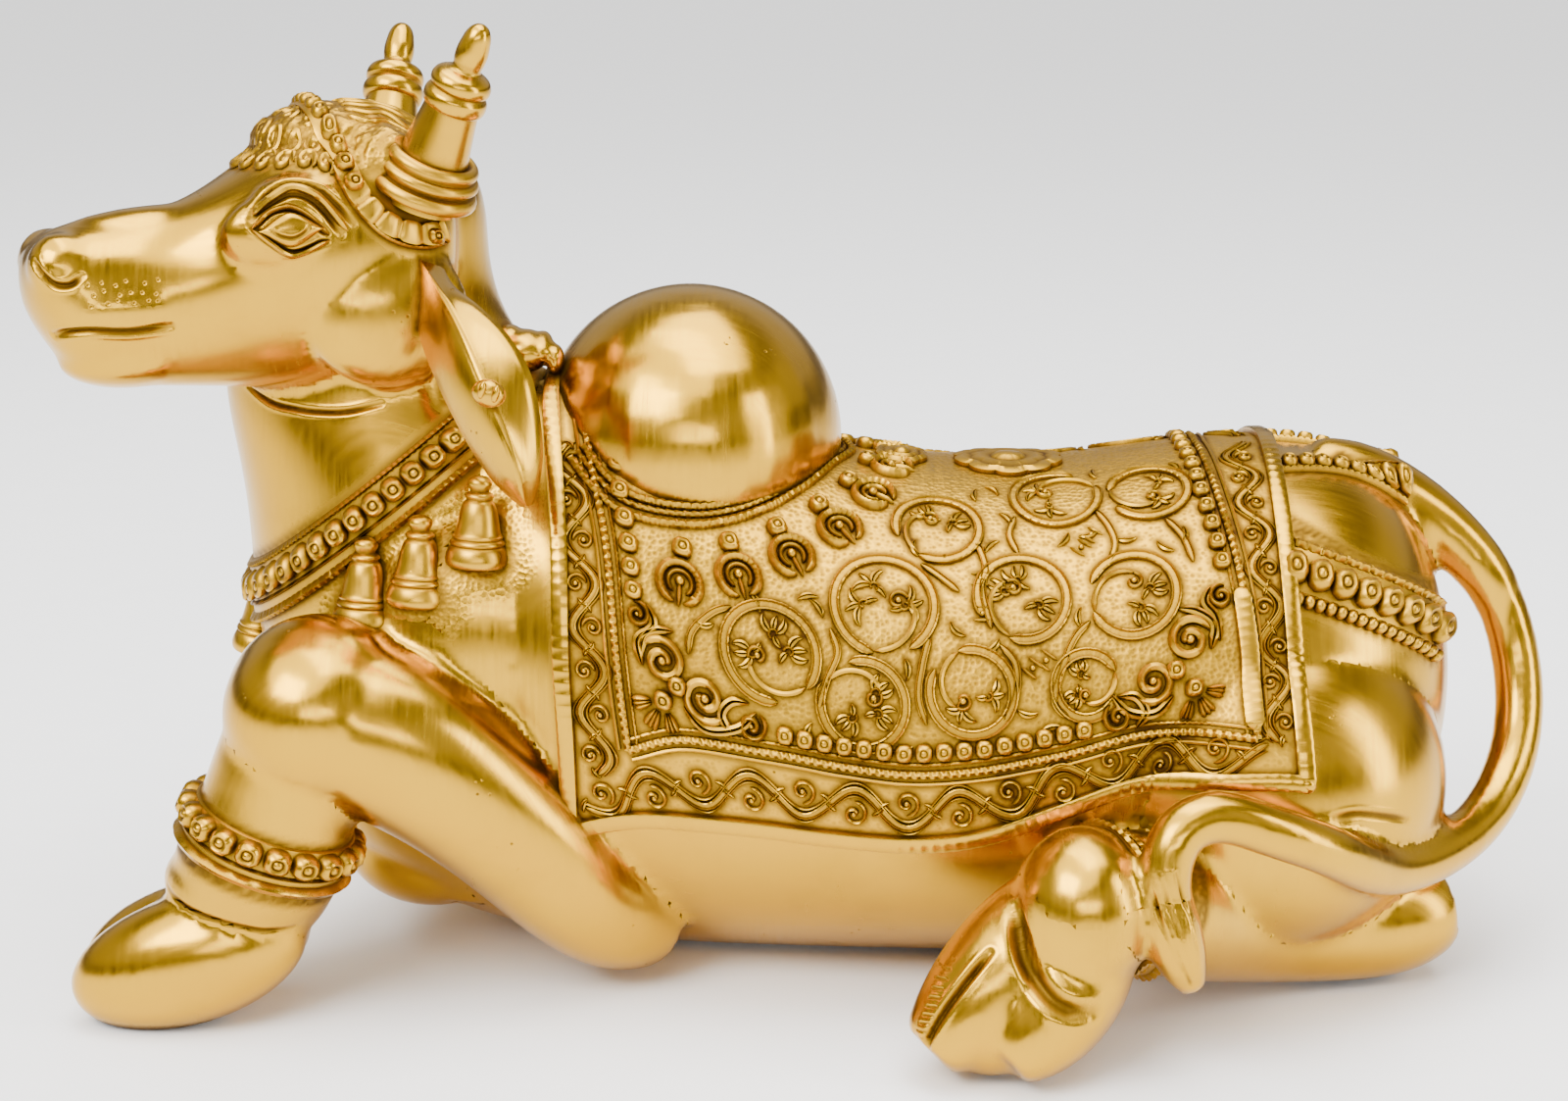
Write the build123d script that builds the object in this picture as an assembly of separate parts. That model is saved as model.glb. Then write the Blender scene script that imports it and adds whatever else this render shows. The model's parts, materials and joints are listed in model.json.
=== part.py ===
from build123d import *
import math
import os

os.makedirs("parts", exist_ok=True)

# A cast brass Nandi: a bull lying down, facing -X, with its left side toward -Y and its
# head turned to that side. Millimetres, +Z up. The body is hollow: it was cast in sections
# around cores, and the sections, ornaments and limbs meet along faces.

# ---- sizes that drive the figure ----
WALL = 4.5  # thickness of the hollow castings
HUMP = 42.0  # radius of the hump
HEAD_YAW = 22.0  # head turned toward the left side
HEAD_ROLL = 4.0
HORN_BASE_R = 9.8
HORN_TOP_R = 6.0
HORN_LENGTH = 24.0
CAP_R = 7.6  # ring of the horn's cap
CAP_LENGTH = 19.0
EAR_THICKNESS = 4.6
CURL_R = 3.6
BAND_WIDTH = 14.0  # neck band
BAND_PROUD = 3.0
BEAD_R = 3.0  # beads of the neck band
KNOT_R = 7.5  # knot of the halter at the nape
BELL_R = 7.6
BELL_HEIGHT = 19.0
BELL_WALL = 1.6
CLOTH = 3.0  # thickness of the saddle cloth
HEM_WIDTH = 4.5
HEM_PROUD = 4.6
RAIL_INSET = 18.0  # from the cloth's edge to the inner rail
RAIL_WIDTH = 3.2
RAIL_PROUD = 1.6
RELIEF = 1.3  # radius of the raised lines on the cloth
GARLAND_R = 2.4
CLOTH_BEAD_R = 2.7
CLOTH_BEAD_PITCH = 6.6
STRAP_PROUD = 2.4
TAIL_R = 6.8
ANKLET_PROUD = 3.0
ANKLET_HEIGHT = 15.0
SLOT_WIDTH = 20.0  # core opening under the belly
SLOT_LENGTH = 100.0
SEAT = 0.5  # how far a bead is let into what carries it

# Rounded sections of the barrel: (x, half width, bottom, top)
TRUNK = [
    (-112, 30, 24, 132),
    (-95, 47, 9, 154),
    (-66, 61, 1.5, 162),
    (-25, 68, -1.5, 150),
    (25, 73, -2, 137),
    (75, 74, -2, 135),
    (110, 72, -1, 139.5),
    (140, 66, 6, 141.5),
    (160, 56, 18, 137),
    (176, 41, 36, 121),
    (184, 20, 62, 100),
]
# Rounded level sections of the neck and chest: (z, centre x, half length, half width)
NECK = [
    (226, -102, 14, 18),
    (214, -104, 21, 23),
    (198, -108, 27, 26),
    (180, -113, 36, 29),
    (165, -111, 43, 33),
    (150, -106, 47, 38),
    (130, -101, 49, 43),
    (105, -98, 50.5, 48),
    (80, -95, 51, 50),
    (55, -92, 48, 48),
    (35, -88, 41, 41),
    (16, -82, 30, 28),
]
# Rounded sections of the head, from the poll to the nose: (distance, bottom, top, half width)
HEAD = [
    (-8, 176, 231, 23),
    (8, 168, 236, 30),
    (25, 165, 235, 32),
    (42, 165, 227, 30),
    (56, 166, 218, 25),
    (70, 166.5, 213, 21.5),
    (84, 167, 210.5, 20.5),
    (94, 170, 206.5, 19),
    (101, 176, 201, 14),
    (104.5, 183, 195, 7),
]


def ellipse_x(x, half, low, high, grow=0.0):
    """Section standing across the body at this x."""
    stand = Plane(origin=(x, 0, (low + high) / 2), x_dir=(0, 1, 0), z_dir=(1, 0, 0))
    return stand * Ellipse(half + grow, (high - low) / 2 + grow)


def barrel(grow=0.0):
    return loft([ellipse_x(x, half, low, high, grow) for x, half, low, high in TRUNK])


def throat(grow=0.0):
    return loft([Pos(x, 0, z) * Ellipse(rx + grow, ry + grow) for z, x, rx, ry in NECK])


def skull(grow=0.0):
    return loft([ellipse_x(s, half, low, high, grow) for s, low, high, half in HEAD])


def limb(*stations, across=(0, 1, 0), flat=1.0):
    """Smooth limb through (x, y, z, radius), each section square to the way it runs.

    A section is flat times as thick as it is wide, its width lying along `across`."""
    points = [Vector(*station[:3]) for station in stations]
    rings = []
    for i, station in enumerate(stations):
        ahead = points[min(i + 1, len(points) - 1)] - points[max(i - 1, 0)]
        side = Vector(*across)
        side = side - ahead * (side.dot(ahead) / ahead.dot(ahead))
        ring = Plane(origin=points[i], x_dir=side, z_dir=ahead)
        rings.append(ring * Ellipse(station[3], station[3] * flat))
    return loft(rings)


def ball(x, y, z, r):
    """Sphere whose seam lies on the side away from the limb that runs into it."""
    return Pos(x, y, z) * Rot(0, 0, 180) * Sphere(r)


def haunch(grow=0.0):
    """Thigh of the left hind leg, folded against the body."""
    rings = []
    for share in (-0.98, -0.86, -0.62, -0.32, 0, 0.32, 0.62, 0.86, 0.98):
        rim = math.sqrt(1 - share * share)
        stand = Plane(origin=(128 + 52 * share, -40, 58), x_dir=(0, 1, 0), z_dir=(1, 0, 0))
        rings.append(stand * Ellipse(43 * rim + grow, 48 * rim + grow))
    return loft(rings)


def mirrored(shape):
    """The same piece on the right side of the body."""
    return mirror(shape, Plane.XZ)


def cut(shape, *others):
    for other in others:
        shape = shape - other
    return shape


nodes = {}


def keep(name, shape):
    """A node, without slivers that a cut may leave."""
    solids = [solid for solid in shape.solids() if solid.volume > 2.0]
    nodes[name] = solids[0] if len(solids) == 1 else Compound(solids)
    return nodes[name]


# ---- body, neck and hump ----
above = Pos(0, 0, 200) * Box(600, 400, 400)
body = barrel() & above
neck = throat()
body_core = barrel(-WALL) & Pos(36, 0, 100) * Box(2 * (148 - WALL), 300, 200 - 2 * WALL)
neck_core = throat(-WALL) & Pos(-100, 0, 124) * Box(200, 200, 196)
slot = Pos(45, 0, 0) * SlotOverall(SLOT_LENGTH, SLOT_WIDTH)
slot = extrude(slot, 2 * WALL, both=True)

# The head's own frame: x forward along it, y toward its left, rolled about its middle
head_seat = Pos(-100, -8, 200) * Rot(0, 0, 180 + HEAD_YAW) * Rot(HEAD_ROLL, 0, 0) * Pos(0, 0, -200)
head = head_seat * skull()
head_core = head_seat * (skull(-WALL) & Pos(48, 0, 200) * Box(102, 100, 100))

hump_ball = ball(-26, 0, 187 - HUMP, HUMP)
keep("trunk_shell", cut(body, body_core, neck_core, slot))
keep("neck_and_chest_shell", cut(neck, body, neck_core, head_core))
hump = keep("hump", cut(hump_ball, body, neck))

# ---- head: shell, eyes, horns, forelock, ears ----
keep("head_shell", cut(head, neck, head_core))


def on_head(shape):
    return head_seat * shape


def horn(side):
    """Horn rising from the side of the poll, with its ring and its turned cap."""
    foot = Vector(4, side * 21, 213)
    lean = Vector(-5, side * 14.5, 30).normalized()
    top = foot + lean * (HORN_LENGTH + 7)
    stem = limb(
        (*foot, HORN_BASE_R),
        (*(foot + lean * 10), HORN_BASE_R),
        (*(foot + lean * 22), (HORN_BASE_R + HORN_TOP_R) / 2),
        (*top, HORN_TOP_R),
    )
    collar = Plane(origin=foot + lean * 8, z_dir=lean) * Cylinder(HORN_BASE_R + 3.4, 5)
    # The cap, from the horn's end outward: ring, waist, bulb and point.
    outline = [
        (0, 0),
        (CAP_R - 1, 0),
        (CAP_R, 2),
        (CAP_R - 0.8, 4.5),
        (CAP_R * 0.62, 6),
        (CAP_R * 0.78, CAP_LENGTH * 0.5),
        (CAP_R * 0.6, CAP_LENGTH * 0.75),
        (CAP_R * 0.3, CAP_LENGTH),
        (0, CAP_LENGTH),
    ]
    turned = revolve(Plane.XZ * make_face(Polyline(*outline, close=True)), Axis.Z)
    cap = Plane(origin=top, z_dir=lean) * turned
    return on_head(stem), on_head(collar), on_head(cap)


horns = {}
for name, side in (("left", 1), ("right", -1)):
    stem, collar, cap = horn(side)
    horns[name] = keep(f"horn_{name}", cut(stem, head, neck))
    collar = keep(f"horn_ring_{name}", cut(collar, head, neck, stem))
    horns[name + "_all"] = stem + collar
    keep(f"horn_cap_{name}", cap)

for name, side in (("left", 1), ("right", -1)):
    keep(f"eye_{name}", cut(on_head(ball(42, side * 22.5, 206, 8)), head))

horns_all = [horns["left_all"], horns["right_all"]]
brow = on_head(skull(2.6) & Pos(14, 0, 214) * Rot(0, 24, 0) * Box(9, 100, 52))
brow = keep("brow_band", cut(brow, head, neck, *horns_all))

# Curls in rows over the poll, each a knob let into the head: (distance, spacing, count)
curls = []
for row, (s, step, count) in enumerate(((42, 7.5, 5), (34, 8.5, 5), (25, 9, 3))):
    for i in range(count):
        t = (i - (count - 1) / 2) * step
        down = Axis((s, t, 400), (0, 0, -1))
        hits = [hit for face in skull().faces() for hit in face.find_intersection_points(down)]
        crown = max((hit[0] for hit in hits), key=lambda point: point.Z)
        knob = cut(on_head(Pos(*crown) * Sphere(CURL_R)), head, neck, brow)
        curls += knob.solids()
nodes["forelock_curls"] = Compound(curls)

# Ear hanging from behind the horn: (x, y, z, half width)
ear_line = (
    (-99, -30, 207, 4.5),
    (-94, -41, 198, 7.5),
    (-86, -52, 184, 10.5),
    (-78, -60, 169, 11),
    (-71, -66, 154, 8),
    (-66, -69, 143, 2.5),
)
ear = limb(*ear_line, across=(1, 0.3, 0), flat=EAR_THICKNESS / 20)
ear += Pos(-75, -64, 171) * Rot(0, 0, 12) * Box(8, 6, 8)
# The other ear is the same one over the head's own middle.
far_ear = head_seat * mirror(head_seat.inverse() * ear, Plane.XZ)

# ---- neck band, bells and chest strap ----
band_rise = 37.6  # degrees
band_slab = Pos(-110, 0, 133) * Rot(0, -band_rise, 0) * Box(260, 260, BAND_WIDTH)
around = throat(BAND_PROUD) & band_slab
front = Pos(-130, 0, 120) * Box(160, 200, 200)
band = cut(around & front, neck, body, hump_ball)
neck_band = keep("neck_band", band)
ear_left = keep("ear_left", cut(ear, head, neck, around, brow, *horns_all))
ear_right = keep("ear_right", cut(far_ear, head, neck, around, brow, *horns_all))
knot = Vector(-70, -9, 171)
keep("nape_knot", cut(ball(*knot, KNOT_R), neck, ear, far_ear, hump_ball, around))

bell_outline = [
    (0, 0),
    (BELL_R, 0),
    (BELL_R, 2),
    (BELL_R * 0.84, 5),
    (BELL_R * 0.74, BELL_HEIGHT * 0.6),
    (BELL_R * 0.5, BELL_HEIGHT * 0.8),
    (BELL_R * 0.3, BELL_HEIGHT * 0.84),
    (BELL_R * 0.36, BELL_HEIGHT * 0.92),
    (BELL_R * 0.2, BELL_HEIGHT),
    (0, BELL_HEIGHT),
]
hollow_outline = [
    (0, -1),
    (BELL_R - BELL_WALL, -1),
    (BELL_R - BELL_WALL, 2),
    (BELL_R * 0.84 - BELL_WALL, 5),
    (BELL_R * 0.6 - BELL_WALL, BELL_HEIGHT * 0.6),
    (0, BELL_HEIGHT * 0.66),
]
bell = revolve(Plane.XZ * make_face(Polyline(*bell_outline, close=True)), Axis.Z)
bell -= revolve(Plane.XZ * make_face(Polyline(*hollow_outline, close=True)), Axis.Z)
# Where each bell of the left side hangs: mouth's centre
bell_places = [(-81.5, -50.5, 122), (-97.5, -51.5, 111), (-112.5, -48.5, 104)]
for i, place in enumerate(bell_places, 1):
    hung = cut(Pos(*place) * bell, neck, body, around)
    keep(f"bell_left_{i}", hung)
    keep(f"bell_right_{i}", mirrored(hung))
keep("bell_front", cut(Pos(-149.5, 0, 84) * bell, neck, around))

strap_slab = Pos(-130, 0, 79) * Rot(0, -14, 0) * Box(160, 260, 9)
chest_strap = (throat(STRAP_PROUD) & strap_slab) & Pos(-160, 0, 80) * Box(90, 200, 60)

# ---- legs ----
knee_r = 24.5
fore_arm = limb(
    (-33, -37, 15, 12),
    (-46, -43, 22, 18),
    (-64, -52, 41, 20),
    (-84, -58, 62, 21.5),
    (-106, -61, 78, 23),
    (-118, -62, 83, 22),
)
fore_arm += ball(-123, -62, 84, knee_r)
fore_cannon = limb(
    (-128, -62, 76, 19.5),
    (-132, -62, 64, 20.5),
    (-137, -62, 50, 21.5),
    (-142, -62, 38, 21.5),
    (-145, -62, 30, 17),
)
claw = loft(
    [
        Pos(-161, 0, 0) * Ellipse(29, 10),
        Pos(-161, 0, 5) * Ellipse(29.5, 10.5),
        Pos(-156, 0, 18) * Ellipse(26, 11),
        Pos(-147, 0, 34) * Ellipse(20, 10),
    ]
)
fore_hoof = Pos(0, -71, 0) * claw + Pos(-1, -53, 0) * claw

elbow_block = (neck, body, nodes["bell_left_3"])
arm_left = keep("foreleg_left_forearm", cut(fore_arm, *elbow_block) & above)
cannon_left = keep("foreleg_left_cannon", cut(fore_cannon, fore_arm, neck))
keep("fore_hoof_left", cut(fore_hoof, fore_cannon, fore_arm, neck))
fore_anklet = Plane(origin=(-138, -62, 49), z_dir=(-4.5, 0, -12)) * Cylinder(
    21.5 + ANKLET_PROUD, ANKLET_HEIGHT
)
keep("anklet_fore_left", cut(fore_anklet, fore_cannon, fore_arm, fore_hoof, neck))

# The right foreleg lies folded under the chest.
far_arm = limb((-36, 40, 22, 14), (-50, 44, 24, 19), (-80, 50, 26, 20), (-104, 55, 25, 20))
far_arm += ball(-108, 56, 24, 20)
far_cannon = limb((-104, 66, 16, 12), (-88, 74, 14.5, 14), (-66, 76, 13, 12.5), (-48, 76, 13, 11.5))
far_hoof = limb((-50, 76, 13, 12.5), (-36, 76, 12.5, 12.5), (-22, 76, 10, 9), (-16, 76, 8, 5))
arm_right = keep("foreleg_right_forearm", cut(far_arm, neck, body) & above)
cannon_right = keep("foreleg_right_cannon", cut(far_cannon, far_arm, neck, body) & above)
keep("fore_hoof_right", cut(far_hoof, far_cannon, far_arm, neck, body) & above)
far_anklet = Plane(origin=(-66, 76, 13), z_dir=(1, 0, 0)) * Cylinder(12.5 + 2, ANKLET_HEIGHT * 0.7)
keep("anklet_fore_right", cut(far_anklet, far_cannon, far_arm, far_hoof, body) & above)

thigh = haunch()
shank = limb(
    (182, -36, 20, 12),
    (168, -40, 18, 16),
    (143, -46, 18, 16),
    (118, -60, 24, 16),
    (98, -76, 35, 17.5),
    (86, -84, 41, 17),
)
shank += ball(78, -90, 43, 18.5)
hind_claws = limb((70, -90, 40, 13), (60, -97, 32, 15), (47, -104, 18, 14), (37, -108, 9, 8.5))
hind_claws += limb((78, -92, 38, 13), (74, -101, 28, 15), (64, -109, 15, 13), (56, -113, 8, 7.5))
hind_claws = hind_claws & above
hind_anklet = Plane(origin=(93, -79, 38), z_dir=(-20, -15, 11)) * Cylinder(
    18 + ANKLET_PROUD, ANKLET_HEIGHT * 0.75
)
thigh_left = keep("hindleg_left_thigh", cut(thigh, body))
shank_left = keep("hindleg_left_shank", cut(shank & above, body, thigh))
hoof_left = keep("hind_hoof_left", cut(hind_claws, shank, thigh, body))
ring_left = keep("anklet_hind_left", cut(hind_anklet & above, shank, thigh, body, hind_claws))
keep("hindleg_right_thigh", mirrored(thigh_left))
keep("hindleg_right_shank", mirrored(shank_left))
keep("hind_hoof_right", mirrored(hoof_left))
keep("anklet_hind_right", mirrored(ring_left))

keep("chest_strap", cut(chest_strap, neck, fore_arm, far_arm, around))

# ---- tail ----
# Its root is a ridge that thins out over the rump: (x, y, z, radius)
root_line = (
    (146, 0, 136, 8),
    (163, 0, 131, 10.5),
    (176, 0, 124, 10),
    (189.5, -3, 114, 8.5),
    (200.5, -6, 99.5, TAIL_R + 0.4),
)
# From there it is a round rod
tail_line = (
    (200.5, -6, 99.5),
    (206, -11, 79),
    (204, -21, 61),
    (193, -37, 47),
    (175, -57, 42),
    (156, -76, 45),
    (138, -91, 57),
    (121, -97, 65),
    (108, -99, 68.5),
    (99.5, -102, 65.5),
    (96, -104.5, 57.5),
    (96, -105, 50),
)
tuft_line = ((96, -105, 50, 6.4), (97.5, -106.5, 42, 7.6), (100.5, -107, 33, 6.6), (104, -107, 25, 3))
tail_way = Spline(*tail_line)
tail = sweep(Plane(origin=tail_way @ 0, z_dir=tail_way % 0) * Circle(TAIL_R), path=tail_way)
tail += limb(*root_line)
tuft = limb(*tuft_line)
legs_near = (shank, thigh, hind_claws, hind_anklet)
keep("tail", cut(tail, body, *legs_near))
keep("tail_tuft", cut(tuft, tail, *legs_near))

# ---- saddle cloth and its ornaments ----
# Its edge in side view, from the front of the hump round under the belly to the rump
edge = [
    (-66, 175),
    (-60, 140),
    (-57, 110),
    (-56, 56),
    (-38, 60),
    (-18, 60),
    (13, 56.5),
    (33, 55),
    (52, 57),
    (71, 63),
    (89, 70.5),
    (116, 71),
    (136, 70.5),
    (133, 100),
    (135, 146),
    (135, 210),
    (-66, 210),
]
outline = make_face(Plane.XZ * Polyline(*edge, close=True))


def through(sheet):
    """Side-view shape run right through the body."""
    return extrude(sheet, 130, both=True)


def inset(by):
    return offset(outline, amount=-by, kind=Kind.INTERSECTION)


def clad(grow):
    """Body with its thighs, grown by this much."""
    return barrel(grow) + haunch(grow) + mirrored(haunch(grow))


skin, cloth_top = clad(0), clad(CLOTH)
hem_top, rail_top = clad(HEM_PROUD), clad(CLOTH + RAIL_PROUD)
inner = through(inset(HEM_WIDTH))
cloth = keep("saddle_cloth", cut(cloth_top & inner, skin, hump_ball, neck))
hem = cut(hem_top & through(outline), inner, skin, hump_ball, neck, around)
hem = keep("cloth_hem", cut(hem, tail, fore_arm, far_arm, hind_anklet, mirrored(hind_anklet)))

rail_region = through(inset(RAIL_INSET)) - through(inset(RAIL_INSET + RAIL_WIDTH))
rail = keep("cloth_inner_rail", cut(rail_top & rail_region, cloth_top, hump_ball, neck))

def surface_point(shape, x, z, side):
    """Where a level line from the side first meets this shape, and the outward normal."""
    line = Axis((x, side * 250, z), (0, -side, 0))
    hits = [hit for face in shape.faces() for hit in face.find_intersection_points(line)]
    if not hits:
        return None
    point, normal = max(hits, key=lambda hit: side * hit[0].Y)
    return point, normal if normal.Y * side > 0 else -normal


def on_cloth(x, z, lift=0.0):
    """Plane lying on the left side of the cloth here, facing outward, or None off the cloth."""
    hit = surface_point(cloth_top, x, z, -1)
    return Plane(origin=hit[0] + hit[1] * lift, z_dir=hit[1]) if hit else None


def on_both_sides(name, pieces):
    """One node on each side, of pieces made for the left one."""
    solids = [solid for piece in pieces for solid in piece.solids()]
    nodes[f"{name}_left"] = Compound(solids)
    nodes[f"{name}_right"] = Compound([mirrored(solid).solid() for solid in solids])


# Rings of the ornament: (x, z, radius), those of the two lower corners, of the scroll
# medallions over the field, and of the pendants that hang from the garland
corner_rings = [
    (-36.5, 114.5, 3),
    (-29, 105, 5),
    (-25, 94, 3),
    (-15, 94, 4.4),
    (112, 118, 3.6),
    (105, 108, 5),
    (109, 97.5, 3),
    (98, 95, 4.4),
]
field_rings = [
    (39, 132, 8),
    (23, 114, 9.5),
    (-2, 107, 8),
    (13, 91, 8.5),
    (60, 117, 10),
    (43, 97, 9),
    (88, 118, 9),
    (73, 97, 9),
]
pendant_rings = [(-27, 122, 5), (-12, 124, 5), (2, 128, 5), (15, 134, 5)]
all_rings = corner_rings + field_rings + pendant_rings

bead_edge = inset(RAIL_INSET + RAIL_WIDTH + CLOTH_BEAD_R + 1).wires()[0]
bead_count = int(bead_edge.length / CLOTH_BEAD_PITCH)
bead_places = []
for i in range(bead_count):
    at = bead_edge.position_at(i / bead_count)
    place = on_cloth(at.X, at.Z, CLOTH_BEAD_R - SEAT) if at.Z < 134 else None
    # A bead gives way to a ring that lies there
    room = CLOTH_BEAD_R + RELIEF + 1
    taken = any(math.hypot(at.X - x, at.Z - z) < r + room for x, z, r in all_rings)
    if not place or taken:
        continue
    if all((place.origin - other).length > CLOTH_BEAD_R * 2.1 for other in bead_places):
        bead_places.append(place.origin)
on_both_sides("cloth_beads", [Pos(*at) * Sphere(CLOTH_BEAD_R) for at in bead_places])
for name, rings in (
    ("corner_scrolls", corner_rings),
    ("field_medallions", field_rings),
    ("garland_pendants", pendant_rings),
):
    on_both_sides(name, [on_cloth(x, z, RELIEF * 0.3) * Torus(r, RELIEF) for x, z, r in rings])

# Garland: a raised rope round the foot of the hump, open at the neck
garland_points = []
for degrees in range(-120, 121, 15):
    x = -26 + (HUMP + 2) * math.cos(math.radians(degrees))
    y = (HUMP + 1) * math.sin(math.radians(degrees))
    down = Axis((x, y, 400), (0, 0, -1))
    hits = [hit for face in cloth_top.faces() for hit in face.find_intersection_points(down)]
    garland_points.append(max((hit[0] for hit in hits), key=lambda point: point.Z))
garland_way = Spline(*garland_points)
garland = sweep(
    Plane(origin=garland_way @ 0, z_dir=garland_way % 0) * Circle(GARLAND_R), path=garland_way
)
nodes["hump_garland"] = garland.solid()

# Lobed medallion lying over the spine, on the cloth behind the garland
spine_top = max(face.center().Z for face in (cloth_top & Pos(60, 0, 150) * Box(8, 8, 60)).faces())
spine = Pos(60, 0, spine_top - 1) * Cylinder(11, 2.4)
spine += [Pos(60, 0, spine_top - 1) * at * Cylinder(4, 2.2) for at in PolarLocations(10.5, 8)]
nodes["spine_medallion"] = spine.solid()

# Two straps on each side run back from the cloth to the root of the tail
strap_top = clad(STRAP_PROUD)
upper_sheet = make_face(Polyline((134, -22), (162, -13), (162, -5), (134, -13), close=True))
upper = strap_top & extrude(Pos(0, 0, 100) * upper_sheet, 60)
lower_sheet = make_face(Plane.XZ * Polyline((133, 119), (178, 96), (180, 108), (133, 132), close=True))
lower = strap_top & through(lower_sheet) & Pos(0, -150, 0) * Box(600, 300, 600)
straps = [cut(strap, skin, tail, through(outline)) for strap in (upper, lower)]
straps = [solid for strap in straps for solid in strap.solids() if solid.volume > 2]
nodes["crupper_left"] = Compound(straps)
nodes["crupper_right"] = Compound([mirrored(strap).solid() for strap in straps])

# Beads set along the neck band
beads_round = []
for i in range(60):
    turn = math.radians(6 * i)
    x, y = -110 + 80 * math.cos(turn), 80 * math.sin(turn)
    # A level line from outside toward the neck's middle, at the band's height there
    reach = Vector(math.cos(turn), math.sin(turn), math.tan(math.radians(band_rise)) * math.cos(turn))
    start = Vector(-110, 0, 133) + reach * 120
    hits = [
        hit
        for face in around.faces()
        for hit in face.find_intersection_points(Axis(start, reach * -1))
        if (hit[0] - start).length < 119
    ]
    if not hits:
        continue
    point, normal = min(hits, key=lambda hit: (hit[0] - start).length)
    if normal.dot(reach) < 0:
        normal = normal * -1
    middle = point + normal * (BEAD_R - SEAT)
    if middle.X > -66 or (middle - knot).length < KNOT_R + BEAD_R + 1 or any((middle - other).length < BEAD_R * 2 + 0.6 for other in beads_round):
        continue
    beads_round.append(middle)
nodes["neck_band_beads"] = Compound(
    [(Pos(*middle) * Sphere(BEAD_R)).solid() for middle in beads_round]
)

# ---- set the figure on its origin: middle of its length and width, feet at z = 0 ----
boxes = [shape.bounding_box() for shape in nodes.values()]
low = Vector(*(min(getattr(box.min, axis) for box in boxes) for axis in "XYZ"))
high = Vector(*(max(getattr(box.max, axis) for box in boxes) for axis in "XYZ"))
to_origin = Pos(-(low.X + high.X) / 2, -(low.Y + high.Y) / 2, -low.Z)
for name, shape in nodes.items():
    export_step(shape.moved(to_origin), f"parts/{name}.step")
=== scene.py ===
import json
import math

import bmesh
import bpy
import numpy as np
from mathutils import Matrix, Vector
from mathutils.bvhtree import BVHTree
from mathutils.kdtree import KDTree

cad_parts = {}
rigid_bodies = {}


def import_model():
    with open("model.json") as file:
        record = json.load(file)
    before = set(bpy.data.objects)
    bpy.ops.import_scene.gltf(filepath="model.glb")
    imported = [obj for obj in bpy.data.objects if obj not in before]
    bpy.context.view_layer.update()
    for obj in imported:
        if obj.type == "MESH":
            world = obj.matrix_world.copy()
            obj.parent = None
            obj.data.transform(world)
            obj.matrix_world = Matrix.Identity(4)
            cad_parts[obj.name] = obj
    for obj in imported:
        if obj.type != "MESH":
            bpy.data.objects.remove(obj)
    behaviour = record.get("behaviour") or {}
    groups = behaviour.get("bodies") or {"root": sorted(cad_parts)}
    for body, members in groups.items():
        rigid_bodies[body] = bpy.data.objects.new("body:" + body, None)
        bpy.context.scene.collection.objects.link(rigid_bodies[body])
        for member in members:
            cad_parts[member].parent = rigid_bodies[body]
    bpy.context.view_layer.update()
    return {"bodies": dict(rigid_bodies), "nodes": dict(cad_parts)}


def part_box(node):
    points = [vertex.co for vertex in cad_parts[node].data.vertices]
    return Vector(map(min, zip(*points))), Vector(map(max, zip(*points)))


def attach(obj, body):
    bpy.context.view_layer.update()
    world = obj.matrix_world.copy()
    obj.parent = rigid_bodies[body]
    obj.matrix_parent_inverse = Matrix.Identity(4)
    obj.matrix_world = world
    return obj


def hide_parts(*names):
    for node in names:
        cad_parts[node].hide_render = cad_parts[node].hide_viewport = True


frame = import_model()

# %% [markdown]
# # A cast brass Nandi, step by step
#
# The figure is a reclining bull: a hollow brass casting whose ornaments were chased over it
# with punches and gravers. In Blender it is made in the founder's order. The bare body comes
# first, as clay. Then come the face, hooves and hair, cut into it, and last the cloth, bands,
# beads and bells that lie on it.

nodes = frame["nodes"]
BODY = next(iter(frame["bodies"]))
MM = 0.001
# All sizes below are in millimetres, in the drawing's own frame: the bull faces -X, its left
# side is toward -Y, and it lies on z = 0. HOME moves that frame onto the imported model's.
hump_low, hump_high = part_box("hump")
HOME = Vector((hump_high[0] - 16 * MM, (hump_low[1] + hump_high[1]) / 2, 0))
print("drawing zero lies at", [round(v, 5) for v in HOME])


def at(x, y, z):
    return HOME + Vector((x, y, z)) * MM


def world(points):
    """Rows of millimetres to rows of metres in the frame."""
    return np.asarray(points, float).reshape(-1, 3) * MM + np.array(HOME)


def only(*pieces):
    """Selects these pieces and nothing else, the last one active."""
    bpy.ops.object.select_all(action="DESELECT")
    for piece in pieces:
        piece.select_set(True)
    bpy.context.view_layer.objects.active = pieces[-1]


# %% [markdown]
# ## Studio
#
# Brass has hardly a colour of its own: it shows the room, tinted gold. Large soft boxes give
# it the long pale highlights, and a darker surround gives the amber between them.

# %% Camera, floor and lights
camera_data = bpy.data.cameras.new("camera")
camera = bpy.data.objects.new("camera", camera_data)
bpy.context.scene.collection.objects.link(camera)
bpy.context.scene.camera = camera
camera_data.sensor_width = 36
camera_data.lens = 65.2
camera_data.clip_start = 0.05
camera_data.clip_end = 20
camera.location = at(0, -772.7, 318.6)
camera.rotation_euler = (math.radians(75), 0, 0)

bpy.ops.mesh.primitive_plane_add(size=40, location=(0, 0, 0))
floor = bpy.context.object
floor.name = "floor"
only(floor)
bpy.ops.object.mode_set(mode="EDIT")
bpy.ops.mesh.subdivide(number_cuts=1)
bpy.ops.object.mode_set(mode="OBJECT")


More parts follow.
